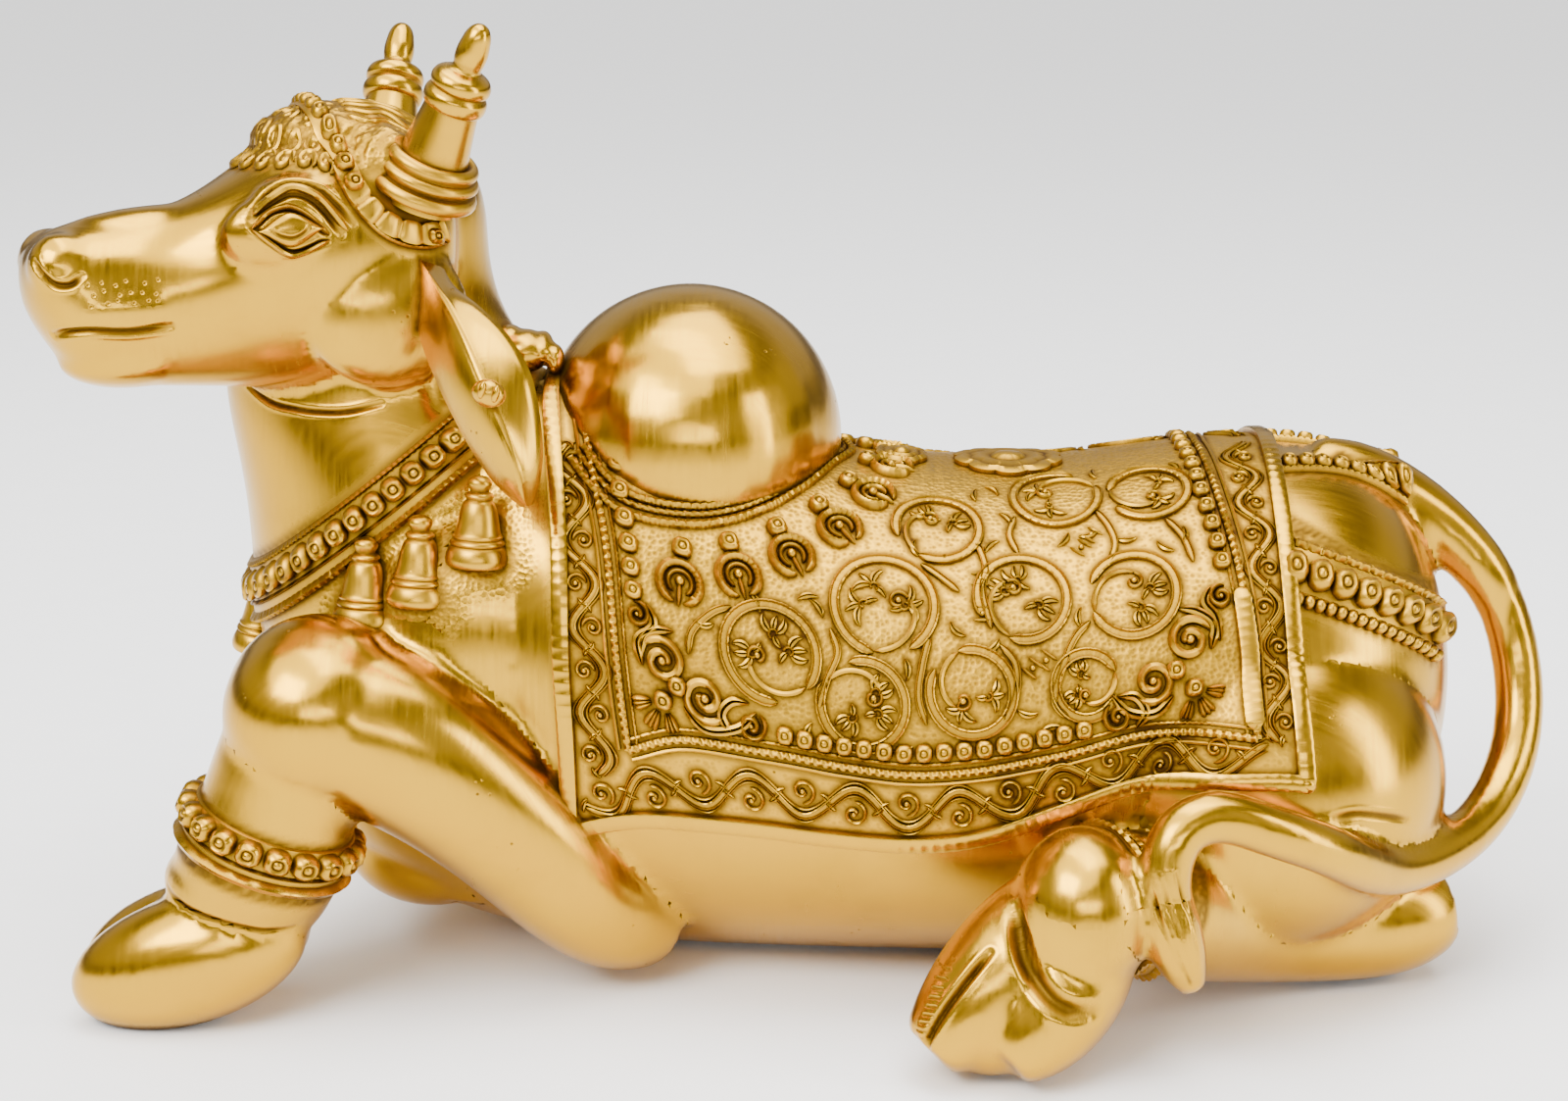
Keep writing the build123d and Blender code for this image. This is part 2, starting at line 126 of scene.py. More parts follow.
def soft_box(name, place, aim, size, power, colour=(1, 1, 1)):
    light_data = bpy.data.lights.new(name, "AREA")
    light_data.shape = "RECTANGLE"
    light_data.size, light_data.size_y = size
    light_data.energy = power
    light_data.color = colour
    light = bpy.data.objects.new(name, light_data)
    bpy.context.scene.collection.objects.link(light)
    light.location = Vector(place)
    light.rotation_euler = (Vector(aim) - Vector(place)).to_track_quat("-Z", "Y").to_euler()
    return light


soft_box("key", (-0.75, -0.95, 1.15), (0, 0, 0.12), (0.9, 0.7), 26)
soft_box("top", (0.15, 0.1, 1.35), (0, 0, 0.1), (1.3, 0.9), 26)
soft_box("right", (1.25, -0.5, 0.5), (0, 0, 0.1), (0.35, 1.0), 11)
soft_box("front", (0.15, -1.5, 0.55), (0, 0, 0.1), (1.1, 0.22), 6)
wash_data = bpy.data.lights.new("wash", "SUN")
wash_data.energy = 4.2
wash_data.angle = math.radians(70)
wash = bpy.data.objects.new("wash", wash_data)
bpy.context.scene.collection.objects.link(wash)
wash.rotation_euler = (math.radians(18), math.radians(-14), 0)

surround = bpy.data.worlds.new("surround")
bpy.context.scene.world = surround
surround.use_nodes = True
sky = surround.node_tree.nodes["Background"]
# Walls pale at eye height, a darker strip where they meet the floor, a dim ceiling
way_up = surround.node_tree.nodes.new("ShaderNodeSeparateXYZ")
band = surround.node_tree.nodes.new("ShaderNodeValToRGB")
where = surround.node_tree.nodes.new("ShaderNodeTexCoord")
surround.node_tree.links.new(where.outputs["Generated"], way_up.inputs[0])
surround.node_tree.links.new(way_up.outputs["Z"], band.inputs["Fac"])
surround.node_tree.links.new(band.outputs["Color"], sky.inputs["Color"])
stops = band.color_ramp.elements
stops[0].position, stops[0].color = 0.03, (0.30, 0.27, 0.24, 1)
stops[1].position, stops[1].color = 1.0, (0.42, 0.40, 0.38, 1)
for position, shade in ((0.16, 0.34), (0.26, 1.15), (0.52, 1.2), (0.66, 0.5)):
    stops.new(position).color = (shade, shade * 0.985, shade * 0.96, 1)
sky.inputs["Strength"].default_value = 0.6


# %% [markdown]
# ## Brass
#
# One alloy runs over the whole figure, with one history: it was cast, filed and brushed,
# punched where the ground is stippled, darkened, and then polished on the high places only.
# Each of these is a node group with its own inputs, so every finish can mix its own amounts.

# %% Node groups of the finish
def new_group(name, inputs, outputs):
    group = bpy.data.node_groups.new(name, "ShaderNodeTree")
    for label, kind, value in inputs:
        socket = group.interface.new_socket(label, in_out="INPUT", socket_type=kind)
        if value is not None:
            socket.default_value = value
    for label, kind in outputs:
        group.interface.new_socket(label, in_out="OUTPUT", socket_type=kind)
    return group, group.nodes.new("NodeGroupInput"), group.nodes.new("NodeGroupOutput")


def add(tree, kind, links=(), **settings):
    """A node with its settings, and its inputs linked from (input, socket) pairs or given values."""
    node = tree.nodes.new(kind)
    for key, value in settings.items():
        setattr(node, key, value)
    for key, source in links:
        if isinstance(source, bpy.types.NodeSocket):
            tree.links.new(source, node.inputs[key])
        else:
            node.inputs[key].default_value = source
    return node


FLOAT, COLOR, VECTOR = "NodeSocketFloat", "NodeSocketColor", "NodeSocketVector"


def make_brushing():
    """Fine scratches of file and brush, in two directions, as height and as a grey value."""
    group, given, out = new_group(
        "brushing",
        [("Vector", VECTOR, None), ("Scale", FLOAT, 1.0)],
        [("Height", FLOAT), ("Tone", FLOAT)],
    )
    heights = []
    for turn, stretch in (((0.2, 0.5, 0.3), (900, 45, 45)), ((1.1, -0.4, 1.2), (40, 1100, 60))):
        turned = add(
            group,
            "ShaderNodeMapping",
            [("Vector", given.outputs["Vector"]), ("Rotation", turn), ("Scale", stretch)],
        )
        noise = add(
            group,
            "ShaderNodeTexNoise",
            [("Vector", turned.outputs["Vector"]), ("Detail", 3.0), ("Roughness", 0.65)],
        )
        group.links.new(given.outputs["Scale"], noise.inputs["Scale"])
        heights.append(noise.outputs["Fac"])
    # Where the one and where the other direction shows changes over the surface.
    patches = add(
        group,
        "ShaderNodeTexNoise",
        [("Vector", given.outputs["Vector"]), ("Scale", 28.0), ("Detail", 2.0)],
    )
    swing = add(
        group,
        "ShaderNodeMapRange",
        [("Value", patches.outputs["Fac"]), ("From Min", 0.42), ("From Max", 0.58)],
    )
    mixed = add(
        group,
        "ShaderNodeMix",
        [(0, swing.outputs["Result"]), (2, heights[0]), (3, heights[1])],
        data_type="FLOAT",
    )
    group.links.new(mixed.outputs["Result"], out.inputs["Height"])
    group.links.new(patches.outputs["Fac"], out.inputs["Tone"])
    return group


def make_pits():
    """Small pits of the sand casting, scattered here and there."""
    group, given, out = new_group(
        "casting pits",
        [("Vector", VECTOR, None), ("Scale", FLOAT, 420.0), ("Share", FLOAT, 0.5)],
        [("Mask", FLOAT)],
    )
    cells = add(
        group,
        "ShaderNodeTexVoronoi",
        [("Vector", given.outputs["Vector"]), ("Scale", given.outputs["Scale"])],
    )
    dots = add(
        group,
        "ShaderNodeMapRange",
        [("Value", cells.outputs["Distance"]), ("From Min", 0.24), ("From Max", 0.1)],
    )
    field = add(
        group,
        "ShaderNodeTexNoise",
        [("Vector", given.outputs["Vector"]), ("Scale", 55.0), ("Detail", 3.0)],
    )
    where = add(
        group,
        "ShaderNodeMath",
        [(0, field.outputs["Fac"]), (1, given.outputs["Share"])],
        operation="GREATER_THAN",
    )
    both = add(
        group,
        "ShaderNodeMath",
        [(0, dots.outputs["Result"]), (1, where.outputs[0])],
        operation="MULTIPLY",
    )
    group.links.new(both.outputs[0], out.inputs["Mask"])
    return group


def make_stipple():
    """Ground punched all over with a round tool: dimples side by side."""
    group, given, out = new_group(
        "punched ground",
        [("Vector", VECTOR, None), ("Scale", FLOAT, 700.0)],
        [("Height", FLOAT), ("Rim", FLOAT)],
    )
    cells = add(
        group,
        "ShaderNodeTexVoronoi",
        [
            ("Vector", given.outputs["Vector"]),
            ("Scale", given.outputs["Scale"]),
            ("Smoothness", 0.35),
            ("Randomness", 0.8),
        ],
        feature="SMOOTH_F1",
    )
    group.links.new(cells.outputs["Distance"], out.inputs["Height"])
    rim = add(
        group,
        "ShaderNodeMapRange",
        [("Value", cells.outputs["Distance"]), ("From Min", 0.25), ("From Max", 0.6)],
    )
    group.links.new(rim.outputs["Result"], out.inputs["Rim"])
    return group


def make_patina():
    """How dark the metal is: chased recesses, tight corners and a little drifting tarnish."""
    group, given, out = new_group(
        "patina",
        [
            ("Vector", VECTOR, None),
            ("Recess", FLOAT, 0.0),
            ("Corner", FLOAT, 1.0),
            ("Depth", FLOAT, 0.8),
            ("Tarnish", FLOAT, 0.15),
        ],
        [("Mask", FLOAT)],
    )
    corner = add(
        group,
        "ShaderNodeMapRange",
        [("Value", given.outputs["Corner"]), ("From Min", 0.9), ("From Max", 0.42)],
    )
    deep = add(
        group,
        "ShaderNodeMath",
        [(0, corner.outputs["Result"]), (1, given.outputs["Depth"])],
        operation="MULTIPLY",
    )
    cloud = add(
        group,
        "ShaderNodeTexNoise",
        [("Vector", given.outputs["Vector"]), ("Scale", 38.0), ("Detail", 5.0), ("Roughness", 0.6)],
    )
    drift = add(
        group,
        "ShaderNodeMapRange",
        [("Value", cloud.outputs["Fac"]), ("From Min", 0.5), ("From Max", 0.75)],
    )
    haze = add(
        group,
        "ShaderNodeMath",
        [(0, drift.outputs["Result"]), (1, given.outputs["Tarnish"])],
        operation="MULTIPLY",
    )
    worn = add(
        group,
        "ShaderNodeMapRange",
        [("Value", cloud.outputs["Fac"]), ("From Min", 0.2), ("From Max", 0.6), ("To Min", 0.8)],
    )
    carved = add(
        group,
        "ShaderNodeMath",
        [(0, given.outputs["Recess"]), (1, worn.outputs["Result"])],
        operation="MULTIPLY",
    )
    first = add(
        group, "ShaderNodeMath", [(0, deep.outputs[0]), (1, carved.outputs[0])], operation="MAXIMUM"
    )
    total = add(
        group,
        "ShaderNodeMath",
        [(0, first.outputs[0]), (1, haze.outputs[0])],
        operation="ADD",
        use_clamp=True,
    )
    group.links.new(total.outputs[0], out.inputs["Mask"])
    return group


BRUSHING, PITS, STIPPLE, PATINA = make_brushing(), make_pits(), make_stipple(), make_patina()
print("node groups:", [group.name for group in (BRUSHING, PITS, STIPPLE, PATINA)])


# %% Brass finishes
def place_group(tree, group, links):
    node = tree.nodes.new("ShaderNodeGroup")
    node.node_tree = group
    for key, source in links:
        if isinstance(source, bpy.types.NodeSocket):
            tree.links.new(source, node.inputs[key])
        else:
            node.inputs[key].default_value = source
    return node


def brass(name, tint=(0.58, 0.325, 0.012), dark=(0.05, 0.020, 0.004), rough=0.21, scratches=0.2,
          pits=0.68, stipple=0.0, depth=0.85, tarnish=0.12, reach=3.5):
    """A finish of the one alloy. `stipple` is how deep the ground is punched, 0 for none."""
    material = bpy.data.materials.new(name)
    material.use_nodes = True
    tree = material.node_tree
    shader = tree.nodes["Principled BSDF"]
    shader.inputs["Metallic"].default_value = 1.0
    where = add(tree, "ShaderNodeTexCoord").outputs["Object"]
    recess = add(tree, "ShaderNodeAttribute", attribute_name="recess").outputs["Fac"]
    corner = add(
        tree, "ShaderNodeAmbientOcclusion", [("Distance", reach * MM)], samples=6
    ).outputs["AO"]
    brushing = place_group(tree, BRUSHING, [("Vector", where)])
    casting = place_group(tree, PITS, [("Vector", where), ("Share", pits)])
    patina = place_group(
        tree,
        PATINA,
        [("Vector", where), ("Recess", recess), ("Corner", corner), ("Depth", depth), ("Tarnish", tarnish)],
    )
    dirt = patina.outputs["Mask"]
    pitted = add(
        tree,
        "ShaderNodeMath",
        [(0, casting.outputs["Mask"]), (1, 0.75)],
        operation="MULTIPLY",
    )
    dirt = add(
        tree, "ShaderNodeMath", [(0, dirt), (1, pitted.outputs[0])], operation="MAXIMUM"
    ).outputs[0]
    height = add(
        tree, "ShaderNodeMath", [(0, brushing.outputs["Height"]), (1, scratches)], operation="MULTIPLY"
    ).outputs[0]
    sunk = add(
        tree, "ShaderNodeMath", [(0, casting.outputs["Mask"]), (1, -1.6)], operation="MULTIPLY"
    ).outputs[0]
    height = add(tree, "ShaderNodeMath", [(0, height), (1, sunk)], operation="ADD").outputs[0]
    if stipple:
        punched = place_group(tree, STIPPLE, [("Vector", where)])
        ground = add(tree, "ShaderNodeAttribute", attribute_name="ground").outputs["Fac"]
        amount = add(tree, "ShaderNodeMath", [(0, ground), (1, stipple)], operation="MULTIPLY")
        dimple = add(
            tree,
            "ShaderNodeMath",
            [(0, punched.outputs["Height"]), (1, amount.outputs[0])],
            operation="MULTIPLY",
        )
        height = add(
            tree, "ShaderNodeMath", [(0, height), (1, dimple.outputs[0])], operation="ADD"
        ).outputs[0]
        low = add(
            tree,
            "ShaderNodeMath",
            [(0, 1.0), (1, punched.outputs["Rim"])],
            operation="SUBTRACT",
        )
        low = add(tree, "ShaderNodeMath", [(0, low.outputs[0]), (1, ground)], operation="MULTIPLY")
        low = add(tree, "ShaderNodeMath", [(0, low.outputs[0]), (1, 0.5)], operation="MULTIPLY")
        dirt = add(
            tree, "ShaderNodeMath", [(0, dirt), (1, low.outputs[0])], operation="MAXIMUM"
        ).outputs[0]
    tone = add(
        tree,
        "ShaderNodeMix",
        [
            (0, brushing.outputs["Tone"]),
            (6, (tint[0], tint[1], tint[2], 1)),
            (7, (tint[0] * 0.94, tint[1] * 0.86, tint[2] * 0.6, 1)),
        ],
        data_type="RGBA",
    )
    colour = add(
        tree,
        "ShaderNodeMix",
        [(0, dirt), (6, tone.outputs[2]), (7, (dark[0], dark[1], dark[2], 1))],
        data_type="RGBA",
    )
    tree.links.new(colour.outputs[2], shader.inputs["Base Color"])
    gloss = add(
        tree,
        "ShaderNodeMapRange",
        [("Value", brushing.outputs["Height"]), ("From Min", 0.3), ("From Max", 0.75),
         ("To Min", rough * 0.8), ("To Max", rough * 1.35)],
    )
    dull = add(
        tree,
        "ShaderNodeMix",
        [(0, dirt), (2, gloss.outputs["Result"]), (3, 0.62)],
        data_type="FLOAT",
    )
    tree.links.new(dull.outputs[0], shader.inputs["Roughness"])
    bump = add(
        tree, "ShaderNodeBump", [("Height", height), ("Strength", 0.5), ("Distance", 0.12 * MM)]
    )
    tree.links.new(bump.outputs["Normal"], shader.inputs["Normal"])
    return material


SMOOTH_BRASS = brass("polished_brass")
BODY_BRASS = brass("polished_and_punched_brass", stipple=3.0)
CHASED_BRASS = brass("chased_brass", rough=0.30, scratches=0.25, depth=1.0, tarnish=0.25, reach=2.5)
GROUND_BRASS = brass("punched_brass", rough=0.33, scratches=0.2, stipple=3.2, depth=1.0, tarnish=0.3, reach=2.5)
DULL_BRASS = brass("satin_brass", rough=0.36, scratches=0.6, pits=0.56, tarnish=0.3)

# %% Floor finish
plaster = bpy.data.materials.new("pale_floor")
plaster.use_nodes = True
tree = plaster.node_tree
speckle = add(
    tree,
    "ShaderNodeTexNoise",
    [("Vector", add(tree, "ShaderNodeTexCoord").outputs["Object"]), ("Scale", 60.0)],
)
pale = add(
    tree,
    "ShaderNodeMix",
    [(0, speckle.outputs["Fac"]), (6, (0.93, 0.93, 0.93, 1)), (7, (0.96, 0.96, 0.96, 1))],
    data_type="RGBA",
)
tree.links.new(pale.outputs[2], tree.nodes["Principled BSDF"].inputs["Base Color"])
tree.nodes["Principled BSDF"].inputs["Roughness"].default_value = 0.75
floor.data.materials.append(plaster)

# %% [markdown]
# ## The clay body
#
# A founder models the whole animal in clay before anything is divided, so that every limb
# flows into the trunk with a soft fillet. The same is done here: the solids of the drawing
# and some modelling primitives are laid into one another, fused by a voxel remesh, and
# smoothed. Only then is the skin divided again into the castings it is assembled from.

# %% Helpers for clay
def copied(node):
    """A free copy of a drawing solid's mesh, its doubled points merged."""
    piece = bpy.data.objects.new("clay_" + node, nodes[node].data.copy())
    bpy.context.scene.collection.objects.link(piece)
    only(piece)
    bpy.ops.object.mode_set(mode="EDIT")
    bpy.ops.mesh.select_all(action="SELECT")
    bpy.ops.mesh.remove_doubles(threshold=0.00001)
    bpy.ops.object.mode_set(mode="OBJECT")
    return piece


def pellet(centre, radii, turn=(0, 0, 0)):
    """A pressed pellet of clay: a sphere, stretched and turned in edit mode."""
    bpy.ops.object.select_all(action="DESELECT")
    bpy.ops.mesh.primitive_uv_sphere_add(segments=32, ring_count=20, radius=MM, location=(0, 0, 0))
    piece = bpy.context.object
    bpy.ops.object.mode_set(mode="EDIT")
    bpy.ops.mesh.select_all(action="SELECT")
    bpy.ops.transform.resize(value=radii)
    bpy.ops.object.mode_set(mode="OBJECT")
    rotation = Matrix.LocRotScale(at(*centre), None, None)
    for axis, degrees in zip("XYZ", turn):
        rotation = rotation @ Matrix.Rotation(math.radians(degrees), 4, axis)
    piece.data.transform(rotation)
    return piece


def roll(name, stations, flat=1.0, across=(0, 1, 0)):
    """A rolled strand of clay through (x, y, z, radius): a circle extruded from place to place."""
    points = [Vector(station[:3]) for station in stations]
    bpy.ops.object.select_all(action="DESELECT")
    bpy.ops.mesh.primitive_circle_add(vertices=28, radius=MM, location=(0, 0, 0))
    piece = bpy.context.object
    piece.name = name
    ring = [vertex.co.copy() / MM for vertex in piece.data.vertices]
    bpy.data.objects.remove(piece)
    rows = []
    for i, station in enumerate(stations):
        ahead = (points[min(i + 1, len(points) - 1)] - points[max(i - 1, 0)]).normalized()
        side = Vector(across) - ahead * ahead.dot(Vector(across))
        side.normalize()
        up = ahead.cross(side)
        radius = station[3]
        rows.append([points[i] + (side * p.x + up * p.y * flat) * radius for p in ring])
    return skinned(name, rows)


def skinned(name, rows, closed_ends=True):
    """A closed skin over rings of points in millimetres."""
    count = len(rows[0])
    vertices = [tuple(at(*point)) for row in rows for point in row]
    faces = []
    for i in range(len(rows) - 1):
        for k in range(count):
            n = (k + 1) % count
            faces.append((i * count + k, i * count + n, (i + 1) * count + n, (i + 1) * count + k))
    if closed_ends:
        faces.append(tuple(reversed(range(count))))
        faces.append(tuple(range((len(rows) - 1) * count, len(rows) * count)))
    mesh = bpy.data.meshes.new(name)
    mesh.from_pydata(vertices, [], faces)
    piece = bpy.data.objects.new(name, mesh)
    bpy.context.scene.collection.objects.link(piece)
    only(piece)
    bpy.ops.object.mode_set(mode="EDIT")
    bpy.ops.mesh.select_all(action="SELECT")
    bpy.ops.mesh.normals_make_consistent(inside=False)
    bpy.ops.object.mode_set(mode="OBJECT")
    return piece


def fused(name, pieces, voxel, smoothing):
    """Pieces pressed into one skin: joined, remeshed on a grid of voxels and smoothed."""
    only(*pieces)
    bpy.ops.object.join()
    clay = bpy.context.object
    clay.name = name
    remesh = clay.modifiers.new("remesh", "REMESH")
    remesh.mode = "VOXEL"
    remesh.voxel_size = voxel * MM
    bpy.ops.object.modifier_apply(modifier="remesh")
    # Cavities inside a casting come out as skins of their own: the outer one is the largest.
    bpy.ops.object.mode_set(mode="EDIT")
    bpy.ops.mesh.select_all(action="SELECT")
    bpy.ops.mesh.separate(type="LOOSE")
    bpy.ops.object.mode_set(mode="OBJECT")
    parts = list(bpy.context.selected_objects)
    clay = max(parts, key=lambda part: len(part.data.vertices))
    for part in parts:
        if part is not clay:
            bpy.data.objects.remove(part)
    only(clay)
    smooth = clay.modifiers.new("smooth", "SMOOTH")
    smooth.factor = 0.5
    smooth.iterations = smoothing
    bpy.ops.object.modifier_apply(modifier="smooth")
    clay.name = name
    clay.data.name = name
    print(name, len(clay.data.polygons), "faces")
    return clay


# %% [markdown]
# The head is laid up ring by ring, from the poll to the nose. Each ring has a lower, a middle
# and an upper half width, so the forehead is broad, the cheeks are full and the muzzle round.

# %% Head frame and head rings
HEAD_SEAT = (
    Matrix.Translation((-100, -8, 200))
    @ Matrix.Rotation(math.radians(202), 4, "Z")
    @ Matrix.Rotation(math.radians(4), 4, "X")
    @ Matrix.Translation((0, 0, -200))
)


def on_head(s, t, z):
    """Millimetres in the head's frame (ahead, to its left, up) to the figure's frame."""
    return HEAD_SEAT @ Vector((s, t, z))


# (ahead, bottom, top, lower, middle and upper half width)
HEAD_RINGS = [
    (-10, 178, 230, 14, 21, 16),
    (2, 170, 234, 18, 27, 21),
    (14, 164.5, 235.5, 20, 31, 24.5),
    (28, 162.5, 234.5, 20, 32.5, 26.5),
    (42, 163, 227.5, 18.5, 30.5, 25.5),
    (54, 164.5, 219, 15.5, 26, 20),
    (66, 165.5, 213.5, 13.5, 21.5, 15),
    (78, 166.5, 211.5, 13, 20, 14),
    (88, 168.5, 211.5, 13.5, 20.5, 15),
    (95, 173, 210, 12.5, 19.5, 14.5),
    (100, 180, 207.5, 10, 16, 12),
    (103.5, 187, 203.5, 6.5, 10, 8),
    (105, 192, 200, 2.5, 4, 3),
]


def head_ring(s, low, high, lower, middle, upper):
    tall = high - low
    half = [
        (0, low),
        (lower * 0.62, low + tall * 0.035),
        (lower, low + tall * 0.15),
        (lower * 0.35 + middle * 0.65, low + tall * 0.33),
        (middle, low + tall * 0.53),
        (middle * 0.5 + upper * 0.5, low + tall * 0.74),
        (upper, low + tall * 0.86),
        (upper * 0.55, low + tall * 0.965),
        (0, high),
    ]
    other = [(-t, z) for t, z in reversed(half[1:-1])]
    return [on_head(s, t, z) for t, z in half + other]


head_clay = skinned("clay_head", [head_ring(*ring) for ring in HEAD_RINGS])
only(head_clay)
rounding = head_clay.modifiers.new("rounding", "SUBSURF")
rounding.levels = rounding.render_levels = 2
bpy.ops.object.modifier_apply(modifier="rounding")


def head_pellet(s, t, z, radii, turn=(0, 0, 0)):
    piece = pellet((0, 0, 0), radii, turn)
    to_head = Matrix.Translation(HOME) @ Matrix.Scale(MM, 4) @ HEAD_SEAT @ Matrix.Translation((s, t, z))
    back = Matrix.Scale(1 / MM, 4) @ Matrix.Translation(-HOME)
    piece.data.transform(to_head @ back)
    return piece


features = []
for side in (1, -1):
    features += [
        head_pellet(42, side * 25.5, 207, (15, 7, 10)),  # swell round the eye
        head_pellet(36, side * 24.5, 216.5, (12.5, 6, 5)),  # brow
        head_pellet(14, side * 21.5, 184, (22, 11, 20)),  # jaw muscle
        head_pellet(95.5, side * 9.2, 200, (8.6, 8.2, 9)),  # nostril wing
        head_pellet(80, side * 11.5, 189, (20, 9.5, 8.5)),  # upper lip
        head_pellet(12, side * 19, 222, (10, 9, 10)),  # boss under the horn
    ]
features += [
    head_pellet(78, 0, 174.5, (19, 14.5, 8)),  # chin and lower lip
    head_pellet(20, 0, 229, (22, 19, 9)),  # crown
    head_pellet(68, 0, 209, (26, 9, 5), (0, 2, 0)),  # bridge of the nose
]

# %% [markdown]
# The drawing's castings give the trunk, neck, hump and limbs. A few pellets thicken the
# shoulders, the brisket and the joints where the real figure is fuller.

# %% The clay figure
CASTINGS = [
    "trunk_shell",
    "neck_and_chest_shell",
    "hump",
    "foreleg_left_forearm",
    "foreleg_left_cannon",
    "foreleg_right_forearm",
    "foreleg_right_cannon",
    "fore_hoof_right",
    "hindleg_left_thigh",
    "hindleg_left_shank",
    "hind_hoof_left",
    "hindleg_right_thigh",
    "hindleg_right_shank",
    "hind_hoof_right",
    "tail",
    "tail_tuft",
]
plug = pellet((45, 0, 8), (56, 14, 8))
lumps = [copied(node) for node in CASTINGS]
lumps += [plug, head_clay, *features]
lumps += [
    pellet((-26, 0, 146), (41, 46, 41)),  # the hump is wider than it is long
    pellet((-84, -38, 92), (34, 22, 40)),  # near shoulder
    pellet((-84, 38, 92), (34, 22, 40)),
    pellet((-122, -60, 86), (25, 22, 24)),  # knee
    pellet((-100, -8, 30), (26, 24, 20)),  # brisket
    pellet((-144, -62, 35), (22, 20.5, 12), (0, 15, 0)),  # fetlock of the near foreleg
    # Near forehoof: two claws, rounded at heel and rim
    pellet((-158.5, -70, 17.5), (33, 15.5, 17.5), (0, -17, 0)),
    pellet((-160, -53.5, 16.5), (32, 12, 16.5), (0, -17, 0)),
    pellet((-148, -62, 24), (21, 19, 16)),
    pellet((76, -98, 43), (18.5, 20, 22)),  # hind fetlock and outer claw, both sides
    pellet((76, 98, 43), (18.5, 20, 22)),
    pellet((53, -104, 14.5), (15, 12, 13.5)),
    pellet((53, 104, 14.5), (15, 12, 13.5)),
]
figure = fused("figure", lumps, 1.5, 9)
for vertex in figure.data.vertices:  # the soles stand flat on the ground
    vertex.co.z = max(vertex.co.z, 0.1 * MM)

# %% [markdown]
# ## Dividing the skin into its castings
#
# Each face of the clay belongs to the drawing's casting that lies nearest. The borders are
# evened out by letting each face take the name that most of its neighbours have.

# %% Names for the faces
PARTS = {
    "trunk": ["trunk_shell"],
    "neck": ["neck_and_chest_shell"],
    "head": ["head_shell"],
    "hump": ["hump"],
    "fore_left": ["foreleg_left_forearm"],
    "cannon_left": ["foreleg_left_cannon"],
    "fore_hoof_left": ["fore_hoof_left"],
    "fore_right": ["foreleg_right_forearm"],
    "cannon_right": ["foreleg_right_cannon"],
    "fore_hoof_right": ["fore_hoof_right"],
    "thigh_left": ["hindleg_left_thigh"],
    "shank_left": ["hindleg_left_shank"],
    "hind_hoof_left": ["hind_hoof_left"],
    "thigh_right": ["hindleg_right_thigh"],
    "shank_right": ["hindleg_right_shank"],
    "hind_hoof_right": ["hind_hoof_right"],
    "tail": ["tail"],
    "tail_tuft": ["tail_tuft"],
}
part_names = list(PARTS)


def arrays(mesh):
    """Vertex places, and the corners of every face as a table padded with -1."""
    places = np.empty(len(mesh.vertices) * 3)
    mesh.vertices.foreach_get("co", places)
    loops = np.empty(len(mesh.loops), int)
    mesh.loops.foreach_get("vertex_index", loops)
    starts = np.empty(len(mesh.polygons), int)
    mesh.polygons.foreach_get("loop_start", starts)
    totals = np.empty(len(mesh.polygons), int)
    mesh.polygons.foreach_get("loop_total", totals)
    table = np.full((len(starts), totals.max()), -1)
    for k in range(totals.max()):
        has = totals > k
        table[has, k] = loops[starts[has] + k]
    return places.reshape(-1, 3), table


def face_names(mesh):
    soup, owners, sides, offset = [], [], [], 0
    for index, name in enumerate(part_names):
        for node in PARTS[name]:
            source = nodes[node].data
            source.calc_loop_triangles()
            soup += [vertex.co for vertex in source.vertices]
            sides += [[offset + v for v in tri.vertices] for tri in source.loop_triangles]
            owners += [index] * len(source.loop_triangles)
            offset += len(source.vertices)
    nearest = BVHTree.FromPolygons(soup, sides)
    labels = np.array([owners[nearest.find_nearest(face.center)[2]] for face in mesh.polygons])
    _, table = arrays(mesh)
    edges = {}
    pairs = []
    for f, corners in enumerate(table):
        corners = corners[corners >= 0]
        for a, b in zip(corners, np.roll(corners, -1)):
            key = (a, b) if a < b else (b, a)
            other = edges.pop(key, None)
            if other is None:
                edges[key] = f
            else:
                pairs.append((f, other))
    pairs = np.array(pairs)
    for _ in range(14):
        votes = np.zeros((len(labels), len(part_names)))
        votes[np.arange(len(labels)), labels] += 1.1
        np.add.at(votes, (pairs[:, 0], labels[pairs[:, 1]]), 1)
        np.add.at(votes, (pairs[:, 1], labels[pairs[:, 0]]), 1)
        labels = votes.argmax(1)
    return labels


labels = face_names(figure.data)
print({name: int((labels == i).sum()) for i, name in enumerate(part_names)})


# %% One closed piece for each casting
def divided(source, labels, index, name):
    """The faces with this name as a piece of their own."""
    places, table = arrays(source.data)
    table = table[labels == index]
    used, back = np.unique(table[table >= 0], return_inverse=True)
    renumbered = np.full(table.shape, -1)
    renumbered[table >= 0] = back
    mesh = bpy.data.meshes.new(name)
    mesh.from_pydata(places[used].tolist(), [], [[v for v in row if v >= 0] for row in renumbered.tolist()])
    piece = bpy.data.objects.new(name, mesh)
    bpy.context.scene.collection.objects.link(piece)
    return piece


